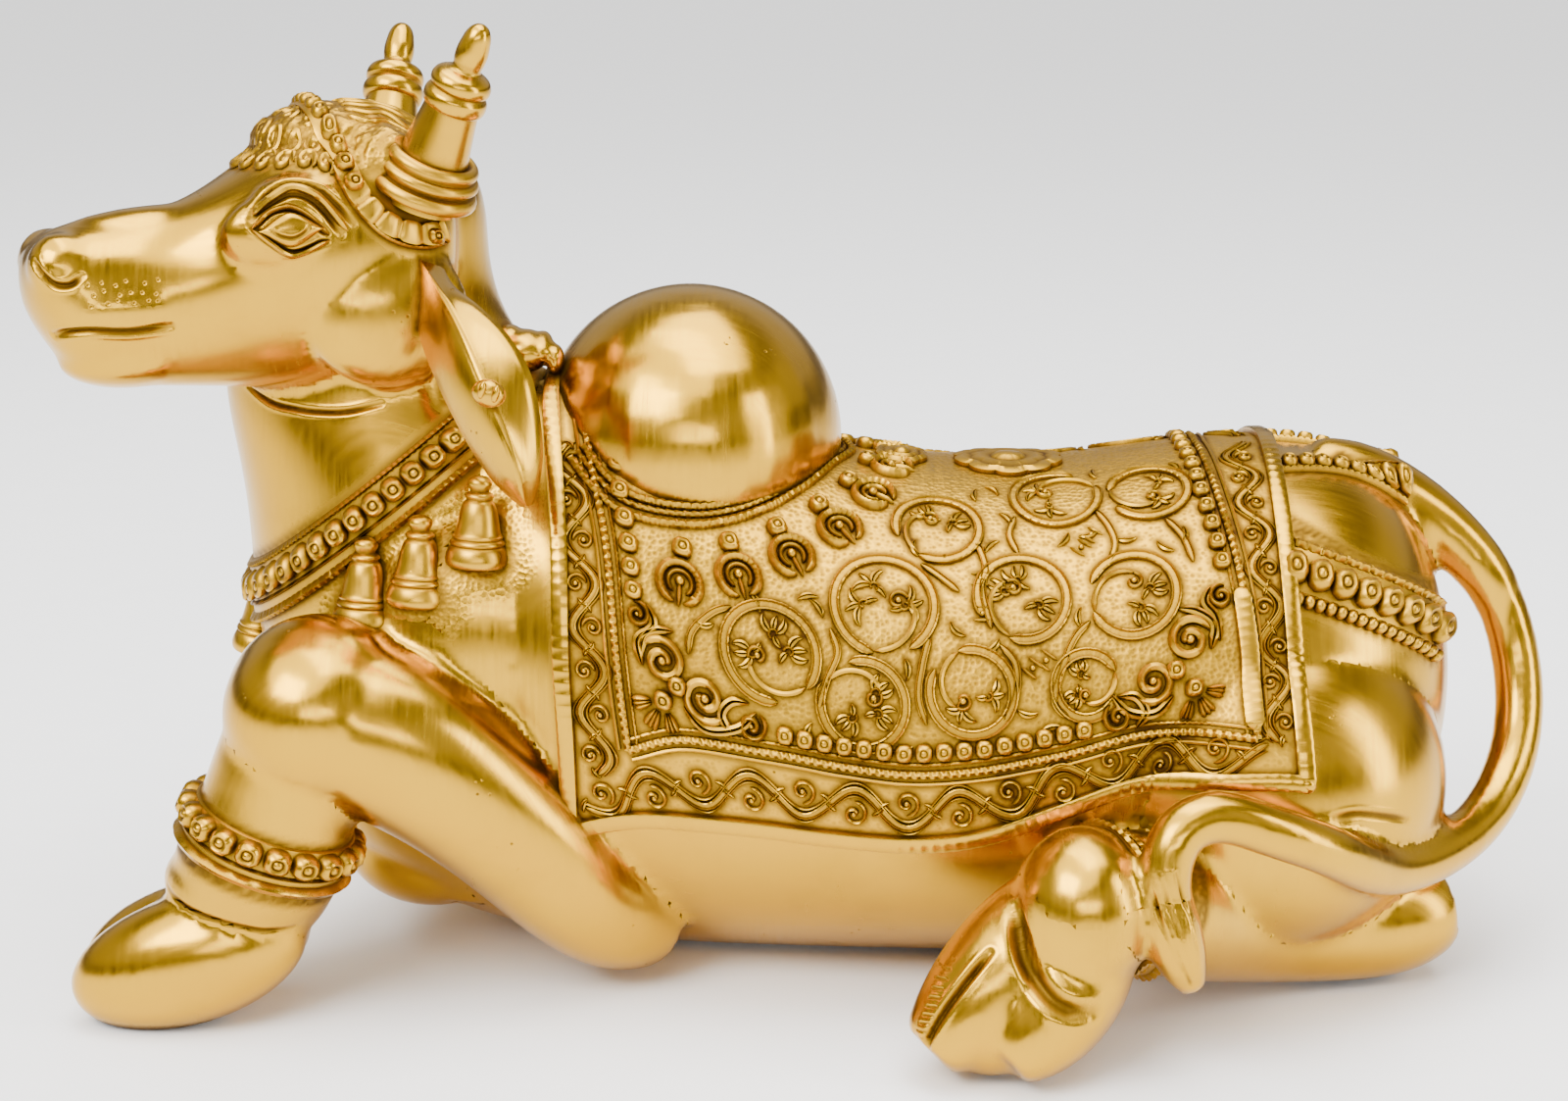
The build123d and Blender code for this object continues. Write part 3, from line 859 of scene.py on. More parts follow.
def keep_largest(piece):
    """Drops stray specks that the division left in other places."""
    only(piece)
    bpy.ops.object.mode_set(mode="EDIT")
    bpy.ops.mesh.select_all(action="SELECT")
    bpy.ops.mesh.separate(type="LOOSE")
    bpy.ops.object.mode_set(mode="OBJECT")
    parts = list(bpy.context.selected_objects)
    big = max(parts, key=lambda part: len(part.data.vertices))
    specks = [part for part in parts if part is not big and len(part.data.vertices) < 200]
    others = [part for part in parts if part is not big and part not in specks]
    for part in specks:
        bpy.data.objects.remove(part)
    only(*others, big)
    if others:
        bpy.ops.object.join()
    return big


def capped(piece):
    only(piece)
    bpy.ops.object.mode_set(mode="EDIT")
    bpy.ops.mesh.select_all(action="SELECT")
    bpy.ops.mesh.fill_holes(sides=0)
    bpy.ops.object.mode_set(mode="OBJECT")
    return piece


def cast(piece, material, *replaced, angle=40):
    """Gives a finished piece its finish, its body and the drawing solids it stands for."""
    only(piece)
    bpy.ops.object.shade_smooth_by_angle(angle=math.radians(angle))
    piece.data.materials.clear()
    piece.data.materials.append(material)
    piece.data.name = piece.name
    if replaced:
        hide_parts(*replaced)
    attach(piece, BODY)
    return piece


castings = {}
for index, name in enumerate(part_names):
    castings[name] = keep_largest(divided(figure, labels, index, "cast_" + name))
    castings[name].name = "cast_" + name
# The undivided skin stays as a map, to lay ornaments on.
skin_tree = BVHTree.FromObject(figure, bpy.context.evaluated_depsgraph_get())
bpy.data.objects.remove(figure)

# %% [markdown]
# ## The saddle cloth
#
# The cloth is metal here: a thin raised field, worked with a pattern that was drawn as if on
# a flat cloth. So it is worked flat here too. Every place on it has two numbers, how far
# along the body it is and how far down from the spine, and a map carries it onto the flank.

# %% The map from flat cloth to flank
form_pieces = [
    copied(node)
    for node in ("trunk_shell", "neck_and_chest_shell", "hindleg_left_thigh", "hindleg_right_thigh")
]
form = fused("form_under_cloth", form_pieces + [pellet((45, 0, 8), (56, 14, 8))], 2.0, 8)
LINES = np.arange(-74, 143, 2.0)
ANGLES = np.radians(np.linspace(0, 148, 149))
form_tree = BVHTree.FromObject(form, bpy.context.evaluated_depsgraph_get())
grid = np.zeros((len(LINES), len(ANGLES), 3))
for i, x in enumerate(LINES):
    for j, angle in enumerate(ANGLES):
        way = Vector((0, -math.sin(angle), math.cos(angle)))
        start = at(x, 0, 70) + way * 0.25
        hit = form_tree.ray_cast(start, -way)[0]
        grid[i, j] = (hit - HOME) / MM
bpy.data.objects.remove(form)


def eased(table, rounds):
    """Evens out the grid's own small ripples, its edge rows kept."""
    for _ in range(rounds):
        inner = table.copy()
        inner[1:-1] = (table[:-2] + 2 * table[1:-1] + table[2:]) / 4
        table = inner.copy()
        inner[:, 1:-1] = (table[:, :-2] + 2 * table[:, 1:-1] + table[:, 2:]) / 4
        inner[:, 0, 1] = 0
        table = inner
    return table


grid = eased(grid, 3)
steps = np.linalg.norm(np.diff(grid, axis=1), axis=2)
fall = np.concatenate([np.zeros((len(LINES), 1)), np.cumsum(steps, axis=1)], axis=1)
along = np.gradient(grid, axis=0)
downward = np.gradient(grid, axis=1)
outward = np.cross(downward, along)
outward /= np.linalg.norm(outward, axis=2, keepdims=True)
if outward[50, 0, 2] < 0:
    outward = -outward
# The spine's own normals lie in the middle plane.
outward[:, 0, 1] = 0


def on_flank(x, down, lift=0.0):
    """Flat cloth to space, in millimetres: along the body, down from the spine, off the skin.

    `down` is positive on the left side and negative on the right. Also gives the normals."""
    x, down, lift = np.broadcast_arrays(
        np.asarray(x, float), np.asarray(down, float), np.asarray(lift, float)
    )
    row = np.clip((x - LINES[0]) / 2.0, 0, len(LINES) - 1.001)
    first = row.astype(int)
    share = (row - first)[..., None]
    places, normals = [], []
    for line in (first, first + 1):
        place = np.empty(x.shape + (3,))
        normal = np.empty(x.shape + (3,))
        for one in np.unique(line):
            here = line == one
            reach = np.abs(down[here])
            for axis in range(3):
                place[here, axis] = np.interp(reach, fall[one], grid[one, :, axis])
                normal[here, axis] = np.interp(reach, fall[one], outward[one, :, axis])
        places.append(place)
        normals.append(normal)
    place = places[0] * (1 - share) + places[1] * share
    normal = normals[0] * (1 - share) + normals[1] * share
    normal /= np.linalg.norm(normal, axis=-1, keepdims=True)
    flip = np.where(down < 0, -1.0, 1.0)
    place[..., 1] *= flip
    normal[..., 1] *= flip
    return place + normal * lift[..., None], normal


print("flank map", grid.shape, "longest fall", round(float(fall.max()), 1))
# %% [markdown]
# Everything on the cloth is raised line work: ropes, double-ruled scrolls, vines and leaves.
# A raised line is a path with a cross-section: rounded, double-ruled, flat or folded like a
# leaf. Lines are laid on the flat cloth, gathered in one relief, and carried onto both flanks.

# %% Raised lines
CLOTH = 2.6  # how far the cloth stands off the body
ROUND = [(-1, -0.3), (-0.72, 0.62), (0, 1), (0.72, 0.62), (1, -0.3)]
FLAT = [(-1, -0.3), (-0.92, 0.85), (-0.6, 1), (0.6, 1), (0.92, 0.85), (1, -0.3)]
LEAF = [(-1, -0.3), (-0.75, 0.7), (-0.25, 1), (0, 0.45), (0.25, 1), (0.75, 0.7), (1, -0.3)]
RULED = [(-1, -0.3), (-0.88, 0.8), (-0.66, 1), (-0.44, 0.5), (0, 0.55), (0.44, 0.5), (0.66, 1),
         (0.88, 0.8), (1, -0.3)]


def curve(points, step=1.0, closed=False):
    """A smooth line through these points, evenly spaced."""
    p = np.asarray(points, float)
    if closed:
        q = np.vstack([p[-1], p, p[:2]])
    else:
        q = np.vstack([2 * p[0] - p[1], p, 2 * p[-1] - p[-2]])
    t = np.linspace(0, 1, 13)[:-1][:, None]
    fine = [
        0.5 * (2 * b + (c - a) * t + (2 * a - 5 * b + 4 * c - d) * t**2 + (3 * b - a - 3 * c + d) * t**3)
        for a, b, c, d in zip(q, q[1:], q[2:], q[3:])
    ]
    fine = np.vstack(fine + [q[-2:-1]])
    run = np.concatenate([[0], np.cumsum(np.linalg.norm(np.diff(fine, axis=0), axis=1))])
    even = np.linspace(0, run[-1], max(int(run[-1] / step), 3) + 1)
    return np.stack([np.interp(even, run, fine[:, k]) for k in range(p.shape[1])], 1)


def spiral(x, d, r0, r1, start, sweep, step=0.8):
    """Round (x, d) from radius r0 to r1, from the start angle through the sweep, in degrees."""
    count = max(int(abs(math.radians(sweep)) * (r0 + r1) / 2 / step), 8)
    share = np.linspace(0, 1, count)
    turn = np.radians(start + sweep * share)
    radius = r0 + (r1 - r0) * share
    return np.stack([x + radius * np.cos(turn), d + radius * np.sin(turn)], 1)


class Relief:
    """Line work on the flat cloth: places (along, down, lift), faces and how deep each lies."""

    def __init__(self, base=CLOTH):
        self.flat, self.faces, self.deep, self.base = [], [], [], base

    def put(self, flat, faces, deep):
        first = sum(map(len, self.flat))
        self.flat.append(np.asarray(flat, float))
        self.deep.append(np.asarray(deep, float))
        self.faces += [[first + v for v in face] for face in faces]

    def line(self, path, width, height, profile=ROUND, pitch=0.0, twist=0.0, notch=0.35, ends=(2.5, 2.5)):
        """A raised line. `pitch` cuts it into beads or, with `twist`, into the lay of a rope."""
        path = np.asarray(path, float)
        run = np.concatenate([[0], np.cumsum(np.linalg.norm(np.diff(path, axis=0), axis=1))])
        ahead = np.gradient(path, axis=0)
        ahead /= np.linalg.norm(ahead, axis=1, keepdims=True) + 1e-9
        side = np.stack([-ahead[:, 1], ahead[:, 0]], 1)
        taper = np.ones(len(path))
        for distance, over in ((run, ends[0]), (run[-1] - run, ends[1])):
            if over:
                taper *= np.sqrt(np.clip(distance / over, 0.03, 1))
        rows = []
        for offset, lift in profile:
            cut = 1.0
            if pitch and lift > 0:
                wave = np.abs(np.sin(math.pi * (run / pitch + twist * offset)))
                cut = 1 - notch * (1 - wave) ** 2
            w = width * taper * (1 if lift < 0 else cut**0.5)
            rows.append(
                np.column_stack(
                    [path + side * (offset * w)[:, None], self.base + lift * height * cut * taper**0.6]
                )
            )
        count, m = len(path), len(profile)
        flat = np.stack(rows, 1).reshape(-1, 3)
        deep = np.tile([1.0 if lift < 0 else max(0.0, 0.9 - lift) * 0.8 for _, lift in profile], count)
        faces = []
        for i in range(count - 1):
            for k in range(m):
                n = (k + 1) % m
                faces.append((i * m + k, i * m + n, (i + 1) * m + n, (i + 1) * m + k))
        faces += [tuple(range(m)), tuple(range((count - 1) * m, count * m))]
        self.put(flat, faces, deep)

    def set(self, model, x, d, size, turn=0.0, high=1.0):
        """A copy of a small model at this place, `size` half its width."""
        places, faces, deep = model
        c, s = math.cos(math.radians(turn)) * size, math.sin(math.radians(turn)) * size
        flat = np.column_stack(
            [
                x + places[:, 0] * c - places[:, 1] * s,
                d + places[:, 0] * s + places[:, 1] * c,
                self.base + places[:, 2] * size * high,
            ]
        )
        self.put(flat, faces, deep)

    def piece(self, name, carry=None, sides=(1, -1)):
        """The relief as one mesh on the flanks, or wherever `carry` takes it."""
        flat = np.vstack(self.flat)
        deep = np.concatenate(self.deep)
        places, faces = [], []
        for number, side in enumerate(sides):
            where = (carry or on_flank)(flat[:, 0], side * flat[:, 1], flat[:, 2])[0]
            places.append(world(where))
            faces += [[v + number * len(flat) for v in face] for face in self.faces]
        made = meshed(name, np.vstack(places), faces)
        return worn(made, np.tile(deep, len(sides)))


def meshed(name, places, faces):
    """A mesh object from rows of metres, its closed skins turned outward."""
    mesh = bpy.data.meshes.new(name)
    mesh.from_pydata(np.asarray(places).tolist(), [], [list(map(int, face)) for face in faces])
    piece = bpy.data.objects.new(name, mesh)
    bpy.context.scene.collection.objects.link(piece)
    only(piece)
    bpy.ops.object.mode_set(mode="EDIT")
    bpy.ops.mesh.select_all(action="SELECT")
    bpy.ops.mesh.normals_make_consistent(inside=False)
    bpy.ops.object.mode_set(mode="OBJECT")
    return piece


def worn(piece, recess, ground=None):
    """Writes how deep each vertex lies, for the patina, and how much it is stippled."""
    for label, values in (("recess", recess), ("ground", ground)):
        if values is not None:
            old = piece.data.attributes.get(label)
            layer = old or piece.data.attributes.new(label, "FLOAT", "POINT")
            layer.data.foreach_set("value", np.clip(np.asarray(values, float), 0, 1))
    return piece


# %% [markdown]
# The small bead that borders everything is a cushion with a ring punched into it and a dot
# left standing in the middle. One is modelled from a circle: extruded inward, up, down and up
# again. The plain boss is the same without the ring.

# %% Ring-punched bead
def small_model(name, steps, segments=10, square=0.0):
    """A turned or squarish cushion from (radius, height, depth of patina), the outside first."""
    bpy.ops.object.select_all(action="DESELECT")
    bpy.ops.mesh.primitive_circle_add(vertices=segments, radius=1.0, location=(0, 0, 0))
    model = bpy.context.object
    bpy.ops.object.mode_set(mode="EDIT")
    bpy.ops.mesh.select_all(action="SELECT")
    last = 1.0
    for radius, height, _ in steps:
        bpy.ops.mesh.extrude_region_move()
        ratio = radius / last
        bpy.ops.transform.resize(value=(ratio, ratio, 1), center_override=(0, 0, 0))
        bpy.ops.transform.translate(value=(0, 0, height))
        last = radius
    bpy.ops.object.mode_set(mode="OBJECT")
    places = np.array([vertex.co[:] for vertex in model.data.vertices])
    # Round the outline toward a square
    turn = np.arctan2(places[:, 1], places[:, 0])
    places[:, :2] *= (1 + square * (np.abs(np.sin(2 * turn)) ** 1.5))[:, None]
    faces = [tuple(face.vertices) for face in model.data.polygons]
    rings = len(places) // segments
    deep = np.zeros(len(places))
    deep[:segments] = 1
    for ring, (_, _, depth) in zip(range(1, rings), steps):
        deep[ring * segments : (ring + 1) * segments] = depth
    faces.append(tuple(range(segments)))
    faces.append(tuple(range((rings - 1) * segments, rings * segments)))
    bpy.data.objects.remove(model)
    places[:segments, 2] -= 0.25
    return places, faces, deep


RING_BEAD = small_model(
    "ring_bead",
    [(0.97, 0.46, 0.6), (0.84, 0.34, 0.05), (0.58, 0.17, 0), (0.44, -0.04, 0.6), (0.35, -0.1, 0.9),
     (0.22, 0.12, 0.1), (0.1, 0.05, 0)],
    segments=12,
    square=0.1,
)
BOSS = small_model(
    "boss", [(0.97, 0.3, 0.3), (0.8, 0.35, 0), (0.5, 0.25, 0), (0.18, 0.08, 0)], segments=10
)
print("bead", len(RING_BEAD[1]), "faces, boss", len(BOSS[1]), "faces")

# %% [markdown]
# ### Outline of the cloth, rails and ropes

# %% Edges and rails
FRONT_EDGE = [(-64, 0), (-63.5, 18), (-61.6, 36), (-58.6, 66), (-57.5, 96), (-56.4, 117), (-56, 142)]
BOTTOM_EDGE = [(-56, 142), (-38, 134), (-20, 129.5), (-4, 127), (13, 126.5), (34, 126.5), (51, 124),
               (71, 116.5), (89, 111), (103, 111), (116, 113), (134, 114)]
REAR_EDGE = [(134, 114), (133.2, 99), (132.4, 75), (132.2, 51), (133, 22), (134, 0)]
FRONT_RAIL = [(-57, 8), (-54, 28), (-51.2, 43.5), (-46.5, 65), (-43.2, 94), (-40.3, 115)]
BOTTOM_RAIL = [(-40.3, 115), (-25.5, 108), (-2, 105.8), (15.7, 106.6), (33, 107.6), (50.7, 106),
               (71, 102), (96, 98), (122.2, 103)]
REAR_RAIL = [(122.2, 103), (121.8, 83), (119.8, 59.6), (116.4, 30), (114.8, 0)]


def edge_x(edge, down):
    points = np.array(sorted(edge, key=lambda point: point[1]))
    return np.interp(down, points[:, 1], points[:, 0])


def edge_down(edge, x):
    points = np.array(sorted(edge))
    return np.interp(x, points[:, 0], points[:, 1])


hem = Relief(base=CLOTH - 0.6)
for edge in (FRONT_EDGE, BOTTOM_EDGE, REAR_EDGE):
    hem.line(curve(edge, 1.0), 2.3, 2.5, FLAT, pitch=3.1, notch=0.10, ends=(0, 0))
hem.set(BOSS, -56, 142, 2.6, high=1.0)
hem.set(BOSS, 134, 114, 2.6, high=1.0)

rails = Relief()
for rail in (FRONT_RAIL, BOTTOM_RAIL, REAR_RAIL):
    path = curve(rail, 0.45)
    ahead = np.gradient(path, axis=0)
    ahead /= np.linalg.norm(ahead, axis=1, keepdims=True)
    side = np.stack([-ahead[:, 1], ahead[:, 0]], 1)
    rails.line(path, 1.25, 1.7, ROUND, pitch=2.3, twist=0.45, notch=0.42, ends=(0, 0))
    rails.line(path + side * 2.5, 0.6, 0.9, ROUND, ends=(0, 0))
    rails.line(path - side * 2.5, 0.55, 0.8, ROUND, pitch=1.6, notch=0.3, ends=(0, 0))
# The rear rail is a broad hammered bar in its lower half.
rails.line(curve([(119.4, 62), (120.8, 80), (121.8, 101)], 0.8), 2.5, 2.0, FLAT, pitch=2.4, notch=0.16)

GARLAND = [(-57, 41), (-50, 49.5), (-41.8, 54), (-28.8, 53), (-16, 48), (-3.3, 38.4), (6.5, 26.5),
           (13, 14), (17.5, 5), (18.6, 0)]
garland = Relief()
for share, width, height, twist in ((1.0, 1.3, 2.0, 0.45), (0.945, 1.0, 1.6, -0.45), (0.9, 1.3, 2.2, 0.45)):
    ring = [(-26 + (x + 26) * share, d * share) for x, d in GARLAND]
    garland.line(curve(ring, 0.5), width, height, ROUND, pitch=2.4, twist=twist, notch=0.4, ends=(0, 0))

# %% [markdown]
# ### Beads, pendants, scrolls, corner leaves and the border vine

# %% Rows of beads and pendants
beads = Relief()
for x, d, size in (
    [(-50, 11, 2.1), (-49.4, 18, 2.2), (-48.7, 25, 2.3), (-46.6, 33, 2.5), (-45, 40.4, 2.5)]
    + [(-43.9, 48.2, 2.6), (-42.3, 55.5, 2.7), (-41, 62, 2.6), (-40.2, 68, 2.5), (-39.4, 73.8, 2.4)]
):
    beads.set(RING_BEAD, x, d, size, turn=8)
for x in np.linspace(0.5, 77.5, 16):
    beads.set(RING_BEAD, x, float(edge_down(BOTTOM_RAIL, x)) - 5.3, 2.35)
for d in (3.5, 10.3, 17, 23.6, 30, 36.4, 42.6, 48.7, 54.6):
    beads.set(RING_BEAD, float(edge_x(REAR_RAIL, d)) - 3.9, d, 2.4)
pendants = Relief()
hangers = [(-27.2, 59.4), (-15, 54.2), (-2.4, 46.2), (8.8, 35.6), (17, 23.4), (22.6, 9)]
drops = [(-27.5, 68.6), (-12.2, 62.6), (1.8, 53.6), (14.6, 42.4), (24, 27.6), (29.6, 11)]
for (hx, hd), (x, d) in zip(hangers, drops):
    away = math.degrees(math.atan2(d - hd, x - hx))
    pendants.set(RING_BEAD, hx, hd, 2.7, turn=away, high=1.1)
    pendants.line(spiral(x, d, 5.3, 5.3, away + 14, 332, 0.5), 1.35, 2.4, ROUND, pitch=1.5, notch=0.16)
    pendants.line(spiral(x, d, 3.05, 3.2, away + 32, 296, 0.5), 0.8, 1.5, ROUND, ends=(1, 1))
    way = np.array([math.cos(math.radians(away)), math.sin(math.radians(away))])
    pendants.line(np.array([x, d]) + np.outer(np.linspace(-0.6, 6.2, 9), way), 0.85, 1.5, ROUND)
    pendants.set(BOSS, x - way[0] * 0.4, d - way[1] * 0.4, 1.35, high=1.6)

# %% Scroll medallions of the field
scrolls = Relief()


def leaf(relief, x, d, heading, length, width=1.15, bend=35, height=1.0):
    """A small pointed leaf that starts here and bends as it goes."""
    turn = np.radians(heading + bend * np.linspace(-0.4, 1, 10))
    steps = np.stack([np.cos(turn), np.sin(turn)], 1) * length / 10
    path = np.array([x, d]) + np.cumsum(steps, axis=0)
    relief.line(path, width, height, LEAF, ends=(length * 0.45, length * 0.6))


def medallion(x, d, r, start, spin, sprigs=(20, 95, 170)):
    """A ruled ring that is nearly closed, runs inward and ends in a curl, with leafy sprigs."""
    scrolls.line(spiral(x, d, r, r, start, spin * 318, 0.5), 1.5, 1.25, RULED, pitch=1.25, notch=0.22)
    scrolls.line(spiral(x, d, r * 0.97, r * 0.5, start + spin * 318, spin * 120, 0.5), 0.85, 1.1)
    turn = math.radians(start + spin * 438)
    cx, cd = x + r * 0.3 * math.cos(turn), d + r * 0.3 * math.sin(turn)
    scrolls.line(
        spiral(cx, cd, r * 0.2, r * 0.1, start + spin * 438, spin * 300, 0.4), 0.62, 1.1, ends=(0, 1)
    )
    scrolls.set(BOSS, cx, cd, 0.95, high=1.3)
    for i, angle in enumerate(sprigs):
        a = math.radians(start + spin * (angle + 30))
        lx, ld = x + r * 0.42 * math.cos(a), d + r * 0.42 * math.sin(a)
        head = start + spin * (angle + 30)
        leaf(scrolls, lx, ld, head - 60, r * 0.5, 1.4, 60 * spin)
        leaf(scrolls, lx, ld, head + 40, r * 0.46, 1.4, -60 * spin)
        leaf(scrolls, lx, ld, head - 10, r * 0.4, 1.2, 30 * spin)
        leaf(scrolls, lx, ld, head + 150, r * 0.34, 1.1, -40 * spin)
        scrolls.line(spiral(lx, ld, 1.6, 0.5, head + 180, spin * 300, 0.35), 0.42, 0.9, ends=(0.5, 0.5))


medallion(26.1, 64.4, 13.2, 60, -1, (30, 150, 215))
medallion(-3.6, 80.6, 12.2, 80, 1, (60, 170, 240))
medallion(20.6, 90.6, 11.0, 250, 1, (40, 110, 210))
medallion(40.8, 39.2, 11.2, 160, 1, (50, 150))
medallion(62.4, 61.0, 11.8, 150, 1, (20, 80, 210))
medallion(73.6, 25.5, 11.6, 300, -1, (60, 160))
medallion(98.6, 27.0, 10.6, 150, -1, (60, 170))
medallion(91.6, 61.4, 11.4, 200, 1, (120, 200))
medallion(48.6, 86.4, 10.8, 210, -1, (60, 170))
medallion(78.4, 84.6, 8.2, 20, 1, (90, 200))
# Stems from ring to ring, drawn round outside them
for stem in (
    [(12, 72), (14, 78), (11.4, 85), (9, 93)],
    [(38, 72), (36, 80), (35, 88), (37, 95)],
    [(51, 44), (53, 52), (52, 60), (54, 70)],
    [(56, 74), (60, 79), (60, 87), (57, 94)],
    [(84, 33), (87, 40), (88, 46), (86, 52)],
    [(62, 34), (60, 41), (62, 48)],
    [(80, 68), (76, 72), (73, 78), (70, 88), (74, 93)],
    [(-14, 71), (-19, 74), (-24, 80), (-25, 86)],
    [(36, 52), (40, 55), (46, 60)],
    [(102, 39), (106, 46), (108, 54)],
):
    scrolls.line(curve(stem, 0.5), 1.0, 1.0, RULED)
for x, d, heading, bend in (
    (-18, 76, 150, 60), (-10, 66, 40, 50), (10, 70, 250, -50), (31, 78, 70, 40), (36, 50, 240, 60),
    (53, 48, 300, 40), (56, 72, 120, 50), (48, 72, 200, 60), (61, 38, 250, -40), (84, 40, 140, 60),
    (88, 44, 20, -50), (76, 40, 110, 40), (106, 42, 80, 40), (104, 50, 200, 50), (78, 70, 250, 60),
    (60, 90, 30, -60), (34, 100, 150, 40), (66, 96, 340, 30), (8, 96, 120, -50), (30, 24, 200, 60),
    (52, 28, 260, 40), (54, 20, 30, 60), (86, 18, 250, 50), (108, 20, 260, -40), (3, 66, 330, 40),
):
    leaf(scrolls, x, d, heading, 6.5, 1.2, bend)
# Little lozenges, bars and squares between the rings
for x, d, turn in ((82, 42, 40), (79, 46, 40), (68, 78, 35), (64.5, 80, 35), (51.6, 56, 0), (51.8, 66, 0)):
    for reach in (-1.7, 1.7):
        c, s = math.cos(math.radians(turn)), math.sin(math.radians(turn))
        centre = np.array([x - s * reach, d + c * reach])
        scrolls.line(centre + np.outer(np.linspace(-2.4, 2.4, 6), [c, s]), 0.5, 0.8, ends=(0.4, 0.4))
    scrolls.set(BOSS, x, d, 0.8, high=1.2)

# %% Leafy corners
corners = Relief()


def corner(mirror_at, scrolls_at, ring_beads, petals, spin):
    """Big curls in higher relief, with fluted petals at the very corner."""
    for x, d, r, start, tail in scrolls_at:
        corners.line(
            spiral(x, d, r * 1.05, r * 0.16, start, spin * 560, 0.5), max(0.9, r * 0.24), 2.1, ROUND,
            ends=(3, 1),
        )
        corners.set(BOSS, x, d, max(0.9, r * 0.24), high=1.8)
        corners.line(curve(tail, 0.6), 1.5, 1.9, LEAF, ends=(3, 4))
    for x, d in ring_beads:
        corners.set(RING_BEAD, x, d, 2.5, high=1.25)
    cx, cd = mirror_at
    for angle, length in petals:
        for spread in (-9, 0, 9):
            turn = math.radians(angle + spread)
            way = np.array([math.cos(turn), math.sin(turn)])
            start = np.array([cx, cd]) + way * 3.4
            corners.line(start + np.outer(np.linspace(0, length, 8), way), 0.95, 1.7, ends=(2.5, 1))


corner(
    (-31.2, 99.4),
    [
        (-38.2, 79.6, 3.1, 250, [(-36, 76.5), (-34, 81), (-36.5, 85), (-37.5, 91)]),
        (-31.6, 89.6, 5.6, 200, [(-36.8, 92), (-38, 86), (-34, 82.6), (-29, 81.5)]),
        (-20.4, 96.0, 5.8, 30, [(-25.8, 99.5), (-20, 103.6), (-12, 101.4), (-7, 96.5)]),
        (-8.2, 100.0, 3.6, 300, [(-13, 103.6), (-16, 99), (-13.5, 95), (-9, 94.4)]),
    ],
    [(-27.6, 94.8), (-31.2, 99.4)],
    [(70, 5), (115, 5.5), (160, 5)],
    1,
)
corner(
    (106.4, 87.6),
    [
        (114.2, 64.6, 3.1, 290, [(112, 61.5), (110, 66), (112.5, 70), (113.5, 76)]),
        (105.6, 75.4, 5.6, 340, [(111, 78), (112, 72), (108, 68.4), (103, 67)]),
        (95.6, 85.0, 5.4, 150, [(101, 89), (96, 93), (89, 92), (84.6, 87.4)]),
        (86.4, 93.0, 3.6, 240, [(91, 96.4), (93.6, 92.4), (91, 88.4), (86.4, 88)]),
    ],
    [(101.6, 82.8), (106.4, 87.6)],
    [(15, 5), (60, 5.5), (105, 5)],
    -1,
)

# %% Border vine
vine = Relief()


def border(path, swing, bay, hand=1):
    """A wavy stem with a curl and a hatched leaf in each of its bays."""
    path = curve(path, 0.5)
    run = np.arange(len(path)) * 0.5
    ahead = np.gradient(path, axis=0)
    ahead /= np.linalg.norm(ahead, axis=1, keepdims=True)
    side = np.stack([-ahead[:, 1], ahead[:, 0]], 1) * hand
    wave = path + side * (swing * np.sin(2 * math.pi * run / bay))[:, None]
    vine.line(wave, 1.05, 1.1, RULED, pitch=1.6, notch=0.14, ends=(2, 2))
    for shift in (-1.75, 1.75):
        vine.line(wave + side * shift, 0.42, 0.75, ends=(2, 2))
    heading = np.degrees(np.arctan2(ahead[:, 1], ahead[:, 0]))
    k = 0
    while (k + 0.75) * bay / 2 < run[-1]:
        i = int((k + 0.5) * bay / 2 / 0.5)
        out = -1 if k % 2 == 0 else 1
        x, d = path[i] + side[i] * out * swing * 0.45
        start = heading[i] - 90 * out * hand
        vine.line(spiral(x, d, swing * 0.75, 0.5, start, out * hand * 470, 0.4), 0.62, 1.1, ends=(1.5, 0.8))
        vine.set(BOSS, x, d, 0.8, high=1.5)
        leaf(vine, x - ahead[i][0] * swing * 0.9, d - ahead[i][1] * swing * 0.9,
             heading[i] + 180 + 30 * out * hand, swing * 1.1, 0.95, 40 * out)
        leaf(vine, x + ahead[i][0] * swing * 0.9, d + ahead[i][1] * swing * 0.9,
             heading[i] - 30 * out * hand, swing * 1.1, 0.95, -40 * out)
        k += 1


border([(-52, 134), (-38, 126), (-20, 119.6), (0, 116.6), (16, 116.8), (34, 117.2), (51, 115.2),
        (71, 109.4), (90, 104.8), (104, 105), (124, 108.6)], 4.6, 27)
border([(-48.4, 124), (-49.4, 104), (-51.6, 82), (-54.6, 60), (-58, 36)], 3.6, 22)
border([(127.6, 104), (127.3, 84), (126.2, 60), (124.8, 34), (124.4, 4)], 3.2, 21, -1)
print("line work:", {label: sum(map(len, relief.flat)) for label, relief in (
    ("hem", hem), ("rails", rails), ("garland", garland), ("beads", beads), ("pendants", pendants),
    ("scrolls", scrolls), ("corners", corners), ("vine", vine))})

# %% [markdown]
# ### The sheet itself
#
# The cloth is one closed sheet over both flanks. Its ground is stippled. It is darkest along
# the foot of every raised line, where polish never reaches, so each vertex is measured
# against the line work.

